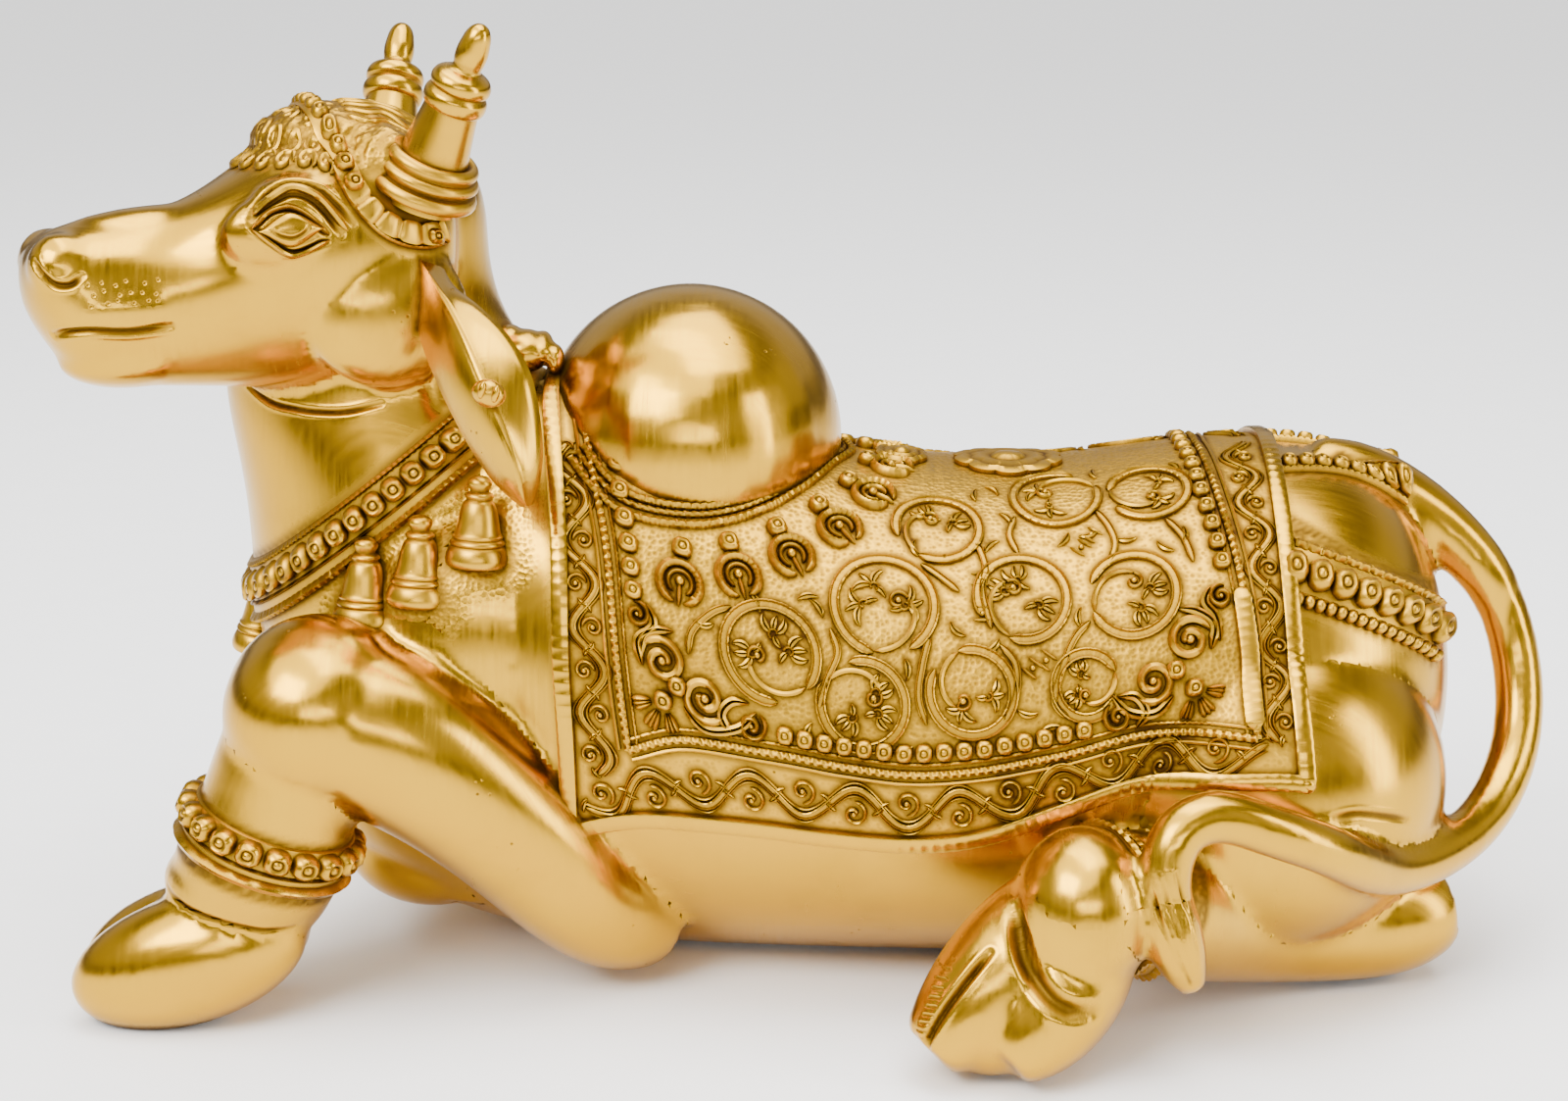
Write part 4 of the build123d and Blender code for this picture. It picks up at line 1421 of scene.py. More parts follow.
# %% Cloth sheet
us = np.linspace(0, 1, 210)
vs = np.linspace(-1, 1, 281)
U, V = np.meshgrid(us, vs, indexing="ij")
bottom = edge_down(BOTTOM_EDGE, -56 + 190 * U)
down = np.abs(V) * bottom
along_x = edge_x(FRONT_EDGE, down) * (1 - U) + edge_x(REAR_EDGE, down) * U
signed = np.sign(V) * down
top = on_flank(along_x, signed, np.full(U.shape, CLOTH))[0]
under = on_flank(along_x, signed, np.full(U.shape, -1.6))[0]
nu, nv = U.shape
index = np.arange(nu * nv).reshape(nu, nv)
quads = np.stack([index[:-1, :-1], index[1:, :-1], index[1:, 1:], index[:-1, 1:]], -1).reshape(-1, 4)
faces = quads.tolist() + (quads[:, ::-1] + nu * nv).tolist()
rim = np.concatenate([index[0, :-1], index[:-1, -1], index[-1, :0:-1], index[:0:-1, 0]])
for a, b in zip(rim, np.roll(rim, -1)):
    faces.append([int(a), int(b), int(b) + nu * nv, int(a) + nu * nv])
cloth = meshed("saddle_cloth_sheet", world(np.vstack([top.reshape(-1, 3), under.reshape(-1, 3)])), faces)
drawn = np.vstack([np.vstack(relief.flat)[:, :2] for relief in (
    hem, rails, garland, beads, pendants, scrolls, corners, vine)])
index_tree = KDTree(len(drawn))
for i, (x, d) in enumerate(drawn):
    index_tree.insert((x, d, 0), i)
index_tree.balance()
flat_sheet = np.column_stack([along_x.ravel(), down.ravel()])
away = np.array([index_tree.find((x, d, 0))[2] for x, d in flat_sheet])
recess = np.clip(1 - away / 1.7, 0, 1) ** 0.8 * 0.85
inside = (
    (flat_sheet[:, 0] > edge_x(FRONT_RAIL, flat_sheet[:, 1]))
    & (flat_sheet[:, 0] < edge_x(REAR_RAIL, flat_sheet[:, 1]))
    & (flat_sheet[:, 1] < edge_down(BOTTOM_RAIL, flat_sheet[:, 0]))
)
ground = np.where(inside, 1.0, 0.55)
worn(cloth, np.tile(recess, 2), np.tile(ground, 2))
cast(cloth, GROUND_BRASS, "saddle_cloth")
cast(hem.piece("cloth_hem_roll"), SMOOTH_BRASS, "cloth_hem")
cast(rails.piece("cloth_rails"), CHASED_BRASS, "cloth_inner_rail")
cast(garland.piece("garland_ropes"), CHASED_BRASS, "hump_garland")
cast(beads.piece("cloth_bead_rows"), CHASED_BRASS, "cloth_beads_left", "cloth_beads_right")
cast(pendants.piece("garland_drops"), CHASED_BRASS, "garland_pendants_left", "garland_pendants_right")
cast(scrolls.piece("field_scrolls"), CHASED_BRASS, "field_medallions_left", "field_medallions_right")
cast(corners.piece("corner_leaves"), CHASED_BRASS, "corner_scrolls_left", "corner_scrolls_right")
cast(vine.piece("border_vine"), CHASED_BRASS)
# %% [markdown]
# ## Chasing the head, hooves and tuft
#
# Eyes, mouth, nostrils and folds are cut with a graver after casting: a groove with a slight
# burr thrown up beside it, and patina that stays in the groove. The skin is divided finer
# first, and each cut is drawn as a line on it.

# %% Cuts
def skin_at(origin, way):
    """Where a line from outside meets the skin: the place in millimetres and its normal."""
    hit, normal, _, _ = skin_tree.ray_cast(at(*origin), Vector(way).normalized())
    if hit is None:
        return None
    return (hit - HOME) / MM, normal


def sight(s, z, side):
    """The line of sight onto the side of the head, a little from above."""
    cheek = float(np.interp(s, [30, 60, 75, 105], [31, 24, 19, 16]))
    start = on_head(s, side * (cheek + 50), z + 20)
    return start, on_head(s, side * cheek, z) - start


def cheek_skin(s, z, side):
    """Place and normal of the skin there. Past the edge, the nearest skin counts."""
    start, way = sight(s, z, side)
    aim = start + way
    found = skin_at(start, way)
    if found is None or (found[0] - aim).length > 12:
        spot, normal, _, _ = skin_tree.find_nearest(at(*aim))
        found = (spot - HOME) / MM, normal
    return found


def on_cheek(s, z, side=1):
    return cheek_skin(s, z, side)[0]


def on_poll(s, t):
    start = on_head(s, t, 262)
    return skin_at(start, on_head(s, t, 200) - start)[0]


def finer(piece):
    only(piece)
    bpy.ops.object.mode_set(mode="EDIT")
    bpy.ops.mesh.select_all(action="SELECT")
    bpy.ops.mesh.subdivide(number_cuts=1, smoothness=0)
    bpy.ops.object.mode_set(mode="OBJECT")
    return piece


def line_of(cut):
    points, width = cut[0], cut[1]
    if len(points) > 1:
        return curve([tuple(p) for p in points], max(width * 0.4, 0.25))
    return np.array([tuple(points[0])])


def places_of(piece):
    co = np.empty(len(piece.data.vertices) * 3)
    piece.data.vertices.foreach_get("co", co)
    return (co.reshape(-1, 3) - np.array(HOME)) / MM


def chase(piece, cuts, passes=2):
    """Sinks lines into a piece. Each cut: its points, half width, depth, and how dark it is."""
    lines = [line_of(cut) for cut in cuts]
    owner = np.concatenate([[k] * len(line) for k, line in enumerate(lines)])
    tree = KDTree(len(owner))
    for i, point in enumerate(np.concatenate(lines)):
        tree.insert(point, i)
    tree.balance()
    only(piece)
    mesh = piece.data
    for _ in range(passes):  # divide the skin finer, but only along the lines
        places = places_of(piece)
        near = np.zeros(len(places), bool)
        for i, place in enumerate(places):
            _, hit, distance = tree.find(place)
            near[i] = distance < 2.4 * cuts[owner[hit]][1] + 0.5
        bpy.ops.object.mode_set(mode="EDIT")
        bpy.ops.mesh.select_mode(type="FACE")
        bpy.ops.mesh.select_all(action="DESELECT")
        bpy.ops.object.mode_set(mode="OBJECT")
        mesh.polygons.foreach_set("select", [bool(near[list(f.vertices)].any()) for f in mesh.polygons])
        bpy.ops.object.mode_set(mode="EDIT")
        bpy.ops.mesh.subdivide(number_cuts=1, smoothness=0)
        bpy.ops.object.mode_set(mode="OBJECT")
    place = places_of(piece)
    no = np.empty(len(place) * 3)
    mesh.vertex_normals.foreach_get("vector", no)
    no = no.reshape(-1, 3)
    count = len(place)
    move = np.zeros(count)
    recess = np.zeros(count)
    old = mesh.attributes.get("recess")
    if old:
        old.data.foreach_get("value", recess)
    for (points, width, depth, dark), line in zip(cuts, lines):
        low, high = line.min(0) - 4 * width, line.max(0) + 4 * width
        near = np.flatnonzero(((place > low) & (place < high)).all(1))
        if not len(near):
            continue
        distance = np.full(len(near), 1e9)
        share = np.zeros(len(near))
        for i, point in enumerate(line):
            d = np.linalg.norm(place[near] - point, axis=1)
            closer = d < distance
            distance[closer] = d[closer]
            share[closer] = i / max(len(line) - 1, 1)
        fade = np.sqrt(np.clip(np.minimum(share, 1 - share) * 6, 0.12, 1)) if len(points) > 1 else 1
        groove = np.exp(-((distance / width) ** 2)) * fade
        burr = np.exp(-(((distance - 1.9 * width) / (0.8 * width)) ** 2)) * fade * (len(points) > 1)
        move[near] += -depth * groove + 0.14 * depth * burr
        recess[near] = np.maximum(recess[near], dark * np.clip(groove * 1.3, 0, 1))
    place = place + no * move[:, None]
    place[:, 2] = np.maximum(place[:, 2], 0.1)
    mesh.vertices.foreach_set("co", world(place).ravel())
    mesh.update()
    worn(piece, recess, read(piece, "ground"))


def read(piece, label):
    values = np.zeros(len(piece.data.vertices))
    layer = piece.data.attributes.get(label)
    if layer:
        layer.data.foreach_get("value", values)
    return values


both = (1, -1)
face_cuts = []
for side in both:
    def cheek(points):
        return [on_cheek(s, z, side) for s, z in points]

    face_cuts += [
        # Nostril: a crescent under the ball of the nose
        (cheek([(102.4, 203.4), (101, 199.4), (98.2, 196.4), (94.6, 195.8), (91.4, 198)]), 0.8, 1.2, 1.0),
        # Mouth
        (cheek([(98.4, 185.2), (95.5, 184.6), (89.6, 183.9), (79.7, 183.2), (70, 184.6)]), 0.95, 1.7, 0.85),
        # Two lines of the brow
        (cheek([(50.6, 209.6), (48.2, 213.6), (45.1, 216.8), (39.4, 220.2), (34.7, 219.3), (30.4, 217),
                (26.7, 213.1), (23.6, 208.5)]), 0.75, 0.9, 1.0),
        (cheek([(50.4, 208), (48, 211.2), (44.6, 213.8), (39.8, 216.2), (35, 215.4), (30.9, 212.4),
                (27.2, 206.2)]), 0.8, 1.0, 1.0),
        # Eye: sunk round the ball, darkest under the lids
        (cheek([(49.6, 206.8), (45.7, 210.8), (42, 212.3), (39.2, 212.2), (35.8, 210.3), (31, 206.4)]),
         0.75, 1.0, 1.0),
        (cheek([(49.6, 206.8), (46, 203.6), (41.5, 201), (37.7, 201.4), (31, 204.6)]), 0.75, 0.9, 1.0),
        # Seam under the jaw
        ([skin_at((x, y - 60, z), (0, 1, 0))[0] for x, y, z in (
            (-146, -26, 164), (-138, -26, 160), (-131, -28, 159), (-124, -30, 158.6),
            (-116, -34, 159), (-107, -36, 161))] if side > 0 else cheek([(44, 163), (30, 160.5), (16, 161.5)]),
         0.7, 0.9, 0.95),
        # Hollow behind the jaw, and between ear and neck
        (cheek([(-1, 192), (-2.5, 182), (-3, 172), (0, 163)]), 2.9, 1.6, 1.0),
    ]
    rng = np.random.default_rng(7)
    for s in np.arange(73, 91, 3.4):
        for z in np.arange(190, 198, 2.9):
            dot = (s + rng.uniform(-0.9, 0.9), z + rng.uniform(-0.8, 0.8))
            face_cuts.append(([on_cheek(*dot, side)], 0.34, 0.35, 0.85))

head = finer(capped(castings["head"]))
neck = capped(castings["neck"])
# The hair between brow band and horns stands a little proud and is punched all over.
co = np.array([((vertex.co - HOME) / MM)[:] for vertex in head.data.vertices])
inverse = np.array(HEAD_SEAT.inverted())
local = co @ inverse[:3, :3].T + inverse[:3, 3]
edge = np.interp(np.abs(local[:, 1]), [0, 7, 14.5, 18.5, 21.5, 25, 30], [46.5, 45.5, 42.5, 38.5, 33, 27, 22])
hair = np.clip((edge - local[:, 0]) / 1.2, 0, 1) * np.clip((local[:, 2] - 219) / 2.5, 0, 1)
hair *= np.clip((local[:, 0] + 14) / 3, 0, 1)
lump = np.sin(local[:, 0] * 1.1 + np.sin(local[:, 1] * 0.9) * 2) * np.sin(local[:, 1] * 0.95)
normals = np.array([vertex.normal[:] for vertex in head.data.vertices])
co += normals * (hair * (1.0 + 0.35 * lump))[:, None]
head.data.vertices.foreach_set("co", world(co).ravel())
worn(head, hair * (0.35 - 0.3 * lump), hair)
chase(head, face_cuts)
neck_co = np.array([((vertex.co - HOME) / MM)[:] for vertex in neck.data.vertices])
worn(neck, np.zeros(len(neck_co)), np.zeros(len(neck_co)))
chase(neck, face_cuts)

def on_left(path):
    """Lays (x, z) points on the left side, from outside."""
    return [hit[0] for x, z in path if (hit := skin_at((x, -190, z), (0, 1, 0)))]


hoof_cuts = [
    # Coronet of the near forehoof, and the cleft of its toes
    (on_left([(-163, 39), (-157, 36), (-150, 34), (-143, 32), (-136, 30), (-129, 29.5)]), 0.7, 0.45, 0.95),
    ([hit[0] for x in (-163, -169, -175, -181, -187) if (hit := skin_at((x, -62, 60), (0, 0, -1)))],
     1.3, 2.6, 0.9),
]
hind_cuts = [
    ([(51.5, -111, 37), (45.4, -113.3, 30), (41.3, -114.3, 24.5), (37.4, -114.8, 18), (34.5, -114, 10)],
     1.0, 1.9, 0.95),
    (on_left([(58.6, 47), (59.4, 39), (62, 32.5), (66, 28), (71, 25), (77, 23.5)]), 2.0, 2.3, 0.9),
]
for share in np.linspace(0, 1, 13):  # file marks along the edge of the inner claw
    x, z = 41.5 - 10 * share, 33 - 25 * share
    hind_cuts.append((on_left([(x - 1.6, z - 0.3), (x + 1.2, z + 0.5)]), 0.32, 0.4, 0.7))
other_side = [([(x, -y, z) for x, y, z in points], w, d, dark) for points, w, d, dark in hind_cuts]
for name, cuts in (
    ("fore_hoof_left", hoof_cuts),
    ("cannon_left", hoof_cuts[:1]),
    ("hind_hoof_left", hind_cuts),
    ("hind_hoof_right", other_side),
    ("shank_left", hind_cuts[1:2]),
    ("shank_right", other_side[1:2]),
):
    chase(capped(castings[name]), cuts)
tuft_cuts = [
    ([(93.9, -110, 58), (96, -111.5, 50), (98.9, -113, 42), (102, -112, 32)], 0.55, 0.8, 0.9),
    ([(97.5, -110.6, 58), (100.3, -110.6, 48), (102.4, -112, 40), (104, -110.6, 31)], 0.5, 0.75, 0.9),
    ([(91.9, -108, 58), (92.8, -111, 50), (95.7, -113, 42), (100, -113, 33)], 0.5, 0.75, 0.9),
    ([(95.6, -112, 46), (98.4, -113.4, 38), (102.4, -111.8, 28)], 0.45, 0.6, 0.8),
]
chase(capped(castings["tail_tuft"]), tuft_cuts)
chase(capped(castings["tail"]), tuft_cuts)
chase(capped(castings["thigh_left"]), [
    ([(142, -81, 61.6), (148.6, -79.3, 62), (157, -75.5, 60), (163.5, -71.4, 57.6)], 0.9, 0.7, 0.9)])

for name, piece in castings.items():
    if name not in ("head", "neck", "fore_hoof_left", "cannon_left", "hind_hoof_left",
                    "hind_hoof_right", "shank_left", "shank_right", "tail_tuft", "tail", "thigh_left"):
        capped(piece)
    cast(piece, BODY_BRASS if name in ("head", "neck", "trunk") else SMOOTH_BRASS, *PARTS[name])

# %% [markdown]
# The eye is a flat almond of its own, let in between the lids, with the iris ruled round it.
# The lids are raised lines that meet in both corners.

# %% Eyes, curls and brow band
def on_side(x, z, lift):
    """Carries relief onto the sides of the head: ahead, height (negative on the right side)."""
    places = []
    for s, height, off in zip(x, z, lift):
        side = 1 if height > 0 else -1
        place, normal = cheek_skin(s, abs(height), side)
        out = (normal - sight(s, abs(height), side)[1].normalized()).normalized()
        places.append(place + out * off)
    return np.array(places), None


def on_top(x, t, lift):
    """Carries relief onto the crown of the head: ahead, to the left."""
    places = []
    for s, across, off in zip(x, t, lift):
        start = on_head(s, across, 262)
        place, normal = skin_at(start, on_head(s, across, 200) - start)
        places.append(place + (normal + Vector((0, 0, 0.6))).normalized() * off)
    return np.array(places), None


for side, label in ((1, "left"), (-1, "right")):
    ball_place = on_cheek(40.4, 206.4, side)
    eye = head_pellet(0, 0, 200, (9.0, 2.3, 4.5))
    middle = inverse @ np.array([*ball_place, 1])
    shift = on_head(middle[0], middle[1] - side * 0.5, middle[2]) - on_head(0, 0, 200)
    eye.data.transform(Matrix.Translation(shift * MM))
    eye.name = "eye_ball_" + label
    # Pinch the ends to an almond
    for vertex in eye.data.vertices:
        q = inverse @ np.array([*((vertex.co - HOME) / MM), 1])
        share = (q[0] - middle[0]) / 9.0
        squeeze = max(0.05, 1 - abs(share) ** 1.6)
        vertex.co = at(*on_head(q[0], q[1], middle[2] + (q[2] - middle[2]) * squeeze))
    eye = finer(eye)
    ring = [(45.4, 208), (43.4, 206.6), (40.4, 205.9), (37.6, 206.9), (36.2, 208.6)]
    ahead_of = side * 2.2
    ring3 = [on_head(s, middle[1] + ahead_of - side * 0.6, z) for s, z in ring]
    chase(eye, [(ring3, 0.45, 0.45, 0.9)])
    cast(eye, SMOOTH_BRASS, "eye_" + label)

lids = Relief(base=0.0)
lids.line(curve([(50.2, 206.6), (45.9, 210.9), (42, 212.6), (39.2, 212.5), (35.6, 210.6), (30.2, 206)], 0.5),
          0.75, 1.5, ROUND)
lids.line(curve([(50.2, 206.6), (46.2, 203.2), (41.6, 200.4), (37.6, 200.9), (30.2, 204.8)], 0.5),
          0.7, 1.2, ROUND)
lids.line(curve([(49.4, 210.6), (47.4, 213.2), (44.4, 215.6), (39.6, 218.3), (34.9, 217.4), (30.7, 214.8),
                 (27, 209.6), (25.4, 207)], 0.5), 1.15, 1.2, ROUND)
cast(lids.piece("eyelids_and_brows", on_side), SMOOTH_BRASS)

curls = Relief(base=0.5)
for s, t, size, start in (
    (45.5, 0, 3.3, 200), (44.6, 6.6, 3.2, 170), (42, 12.8, 3.1, 150), (38, 17.6, 3.0, 130),
    (33, 21.2, 2.8, 110), (28.6, 24.0, 2.5, 100), (40, 3.4, 2.9, 30), (38.6, 9.6, 2.9, 350),
    (34.8, 14.8, 2.8, 320), (30.2, 18.4, 2.6, 300), (34.6, 0, 2.9, 80), (33.4, 6.4, 2.8, 60),
    (29.4, 12.0, 2.7, 30), (25.6, 16.0, 2.5, 10), (29.2, 3.4, 2.6, 200), (24.4, 8.8, 2.5, 180),
):
    curls.line(spiral(s, t, size, 0.6, start, 430, 0.6), 0.9, 1.0, ROUND, ends=(2, 1))
    curls.set(BOSS, s, t, 0.8, high=1.0)
for t in (0.6, 4.4, 8.2, 12, 15.4):
    strand = [(20 - 5 * k, t * (1 + 0.02 * k) + (0.8 if k % 2 else -0.8)) for k in range(6)]
    curls.line(curve(strand, 0.6), 1.2, 1.2, LEAF)
cast(curls.piece("forelock_hair", on_top), CHASED_BRASS, "forelock_curls")

brow = Relief(base=0.4)
band_line = [(24.6, 226.4), (23.4, 221), (20.6, 214.6), (16, 209.4), (10, 206.6), (3.4, 206), (-3, 208)]
brow.line(curve(band_line, 0.4), 3.3, 1.6, FLAT, pitch=6.2, notch=0.5, ends=(0, 1))
brow.line(curve([(s + 0.6, z - 3.4) for s, z in band_line], 0.4), 0.6, 1.3, ROUND, pitch=1.6, notch=0.4)
brow.set(RING_BEAD, 24.3, 225.4, 2.6, high=1.6)
brow.set(RING_BEAD, 22.8, 219.8, 2.6, high=1.6)
brow.set(RING_BEAD, 1.6, 205.6, 2.2, high=1.6)
brow_side = brow.piece("brow_band_sides", on_side)
crown_band = Relief(base=0.6)
crown_band.line(curve([(24.6, 24), (27, 16), (28, 8), (28, 0)], 0.5), 2.6, 1.4, FLAT, ends=(0, 0))
for t in (2.6, 7.8, 12.8, 17.6, 21.8):
    crown_band.set(RING_BEAD, 27.6 - t * 0.06 - max(0, t - 12) * 0.18, t, 2.3, high=1.5)
crown = crown_band.piece("brow_band_crown", on_top)
only(crown, brow_side)
bpy.ops.object.join()
cast(brow_side, CHASED_BRASS, "brow_band")

# %% [markdown]
# ## Horns, ears and nape knot
#
# Each horn is turned: a tapered stem in a nest of rings, and a cap with ring, bulb and point.
# The ear is a folded leaf. It was modelled as one skin over three lines, the two edges and
# the fold, with its back pressed in.

# %% Horns
def turned(name, outline, foot, axis, segments=40, step=0.6):
    """A turned piece: (radius, height) outline round an axis."""
    axis = Vector(axis).normalized()
    side = axis.orthogonal().normalized()
    other = axis.cross(side)
    rows = []
    for radius, height in curve(outline, step):
        centre = Vector(foot) + axis * height
        rows.append([
            centre + (side * math.cos(a) + other * math.sin(a)) * max(radius, 0.05)
            for a in np.linspace(0, 2 * math.pi, segments, endpoint=False)
        ])
    return skinned(name, rows)


def depth_by_outline(piece, foot, axis, outline, step=0.6, segments=40):
    """Patina in the necks of a turned outline: where it lies inside its own average."""
    line = curve(outline, step)
    kernel = np.ones(7) / 7
    padded = np.pad(line[:, 0], 3, mode="edge")
    hollow = np.clip((np.convolve(padded, kernel, "valid") - line[:, 0]) * 1.6, 0, 1)
    worn(piece, np.repeat(hollow, segments))
    return piece


for side, label in ((1, "left"), (-1, "right")):
    foot = on_head(4, side * 21, 213)
    lean = (on_head(4 - 9.5, side * 34, 243) - foot).normalized()
    stem_line = [(11.0, 0), (10.0, 8), (8.8, 16), (7.6, 24), (6.9, 30), (6.8, 33)]
    stem = turned("horn_stem_" + label, stem_line, foot, lean)
    cast(depth_by_outline(stem, foot, lean, stem_line), SMOOTH_BRASS, "horn_" + label)
    base_line = [(9, 2), (13.8, 2.4), (14.8, 4), (14.0, 5.8), (12.8, 6.4), (13.2, 7.2), (13.9, 8.4),
                 (13.2, 9.8), (12.2, 10.3), (12.4, 11), (12.7, 12), (12.1, 13.2), (10.8, 13.9), (9, 13)]
    rings = turned("horn_rings_" + label, base_line, foot, lean, step=0.35)
    cast(depth_by_outline(rings, foot, lean, base_line, 0.35), CHASED_BRASS, "horn_ring_" + label)
    cap_foot = foot + lean * 30.5
    cap_line = [(5, -3.6), (7.6, -3.2), (8.4, -1.6), (8.3, 0.4), (7.5, 1.6), (7.2, 2.1), (7.9, 2.8),
                (8.0, 4.4), (7.2, 6), (5.6, 7), (4.2, 7.6), (3.8, 8.6), (4.1, 10.4), (4.2, 12.6),
                (3.9, 15), (3.4, 17.4), (2.5, 19.2), (1.3, 20.2), (0.1, 20.5)]
    cap = turned("horn_cap_" + label, cap_line, cap_foot, lean, step=0.35)
    cast(depth_by_outline(cap, cap_foot, lean, cap_line, 0.35), SMOOTH_BRASS, "horn_cap_" + label)

# %% Ears and nape knot
# Front edge, fold and rear edge, from the root to the tip
EAR = [
    [(-100.5, -27, 198), (-96.1, -35, 201), (-91.5, -28, 200)],
    [(-97.6, -37, 188.3), (-90.9, -44, 196), (-86.5, -38, 193.7)],
    [(-94, -46, 178.8), (-85, -53, 189.1), (-78.5, -47, 189.3)],
    [(-89.6, -53, 170.4), (-80.4, -60, 182), (-70.5, -54, 182.9)],
    [(-85.2, -58, 162.7), (-76.4, -65, 174.2), (-64.9, -59, 174.5)],
    [(-80.5, -61.5, 155), (-72.7, -68.5, 166.3), (-62.4, -62.5, 164)],
    [(-75.4, -64, 147.8), (-69.5, -71, 158.7), (-61.6, -65, 154.8)],
    [(-70.9, -65.5, 143.5), (-67, -72, 150.6), (-62.4, -66.5, 147.9)],
    [(-67.4, -66.5, 140.9), (-65.9, -69, 141.7), (-64.4, -67, 141.6)],
]
front_line, fold_line, rear_line = (curve([row[k] for row in EAR], 1.2) for k in range(3))
count = 56


def even(line):
    return np.stack([np.interp(np.linspace(0, 1, count), np.linspace(0, 1, len(line)), line[:, k]) for k in range(3)], 1)


front_line, fold_line, rear_line = even(front_line), even(fold_line), even(rear_line)
rows = []
for f, r, b in zip(front_line, fold_line, rear_line):
    f, r, b = Vector(f), Vector(r), Vector(b)
    away = Vector((0.25, -0.95, 0.1))
    width = (b - f).length
    row = []
    for share, out in ((0, 0), (0.1, 0.06), (0.3, 0.12), (0.55, 0.12), (0.8, 0.07), (0.94, 0.015)):
        row.append(f.lerp(r, share) + away * out * width)
    row += [r - away * 0.0, r.lerp(b, 0.08) - away * 0.012 * width]
    for share, out in ((0.3, 0.0), (0.6, 0.03), (0.85, 0.04), (1, 0)):
        row.append(r.lerp(b, share) + away * out * width)
    back = f.lerp(b, 0.5)
    for share in (0.9, 0.65, 0.35, 0.1):
        row.append(f.lerp(b, share) - away * min(3.2, width * 0.2) * math.sin(math.pi * share) ** 0.4)
    rows.append(row)
ear = finer(skinned("ear_leaf_left", rows))
lug = pellet((-74.6, -69.6, 171.2), (4.4, 3.0, 3.6), (0, 20, 0))
lug_bars = [pellet((-76 + 3.4 * k, -72.0, 172.6 - 1.0 * k), (1.0, 1.1, 2.3), (0, 15, 0)) for k in range(2)]
only(*lug_bars, lug, ear)
bpy.ops.object.join()
chase(ear, [
    (list(map(Vector, fold_line[6:52:4])), 0.5, 0.35, 0.5),
    ([(-71.4, -69.4, 167.6)], 0.8, 0.7, 1.0), ([(-70, -69, 168.6)], 0.6, 0.6, 1.0),
    ([(-79.2, -68.6, 168.4), (-76, -70, 167.0), (-72.4, -70, 168)], 0.6, 0.3, 0.9),
])
far_ear = bpy.data.objects.new("ear_leaf_right", ear.data.copy())
bpy.context.scene.collection.objects.link(far_ear)
flip = Matrix.Scale(-1, 4, (0, 1, 0))
to_mm = Matrix.Scale(1 / MM, 4) @ Matrix.Translation(-HOME)
far_ear.data.transform(to_mm.inverted() @ HEAD_SEAT @ flip @ HEAD_SEAT.inverted() @ to_mm)
far_ear.data.flip_normals()
cast(ear, SMOOTH_BRASS, "ear_left", angle=50)
cast(far_ear, SMOOTH_BRASS, "ear_right", angle=50)

knot = [
    pellet((-71, -9, 170.5), (7.4, 8, 6)),
    pellet((-66, -10, 172), (3.2, 6.5, 3.2), (20, 0, 0)),
    pellet((-62.4, -11, 168.6), (2.6, 4.6, 4.2)),
    pellet((-75, -7, 174), (3.6, 6, 3.4)),
]
knot = fused("nape_knot_cast", knot, 0.8, 3)
cast(knot, SMOOTH_BRASS, "nape_knot")

# %% [markdown]
# ## Bands, bells and anklets
#
# Bands go round a limb. Again they are worked flat: how far round, and how far across. A map
# measured on the skin wraps them on.

# %% The wrap
def wrapped(centre, axis, ahead, radius, half, most=2.0):
    """A map for bands: (round, across, lift) in millimetres, round from the direction ahead."""
    axis = Vector(axis).normalized()
    centre = Vector(centre)
    ahead = (Vector(ahead) - axis * axis.dot(Vector(ahead))).normalized()
    other = axis.cross(ahead)
    turns = np.radians(np.arange(0, 360, 3))
    across = np.linspace(-half, half, 9)
    reach = np.zeros((len(turns), len(across)))
    for i, turn in enumerate(turns):
        way = ahead * math.cos(turn) + other * math.sin(turn)
        for j, w in enumerate(across):
            start = centre + axis * float(w)
            hit = skin_tree.ray_cast(at(*start), way)[0]
            reach[i, j] = min((((hit - HOME) / MM) - start).length, most * radius) if hit else radius
    for _ in range(6):
        reach = (np.roll(reach, 1, 0) + 2 * reach + np.roll(reach, -1, 0)) / 4

    def carry(x, d, lift):
        x, d, lift = (np.asarray(v, float) for v in (x, d, lift))
        turn = (x / radius) % (2 * math.pi)
        i = turn / math.radians(3)
        low = i.astype(int) % len(turns)
        high = (low + 1) % len(turns)
        share = i - i.astype(int)
        place = np.zeros((len(x), 3))
        for k in range(len(x)):
            first = np.interp(d[k], across, reach[low[k]])
            second = np.interp(d[k], across, reach[high[k]])
            way = ahead * math.cos(turn[k]) + other * math.sin(turn[k])
            out = first * (1 - share[k]) + second * share[k] + lift[k]
            spot = centre + axis * float(d[k]) + way * float(out)
            place[k] = (spot.x, spot.y, max(spot.z, 0.15))
        return place, None

    return carry


def run_round(relief, start, stop, across, width, height, profile=ROUND, **more):
    """A line along a band, between two angles."""
    path = np.column_stack([np.arange(start, stop, 0.5), np.full(len(np.arange(start, stop, 0.5)), across)])
    relief.line(path, width, height, profile, **more)


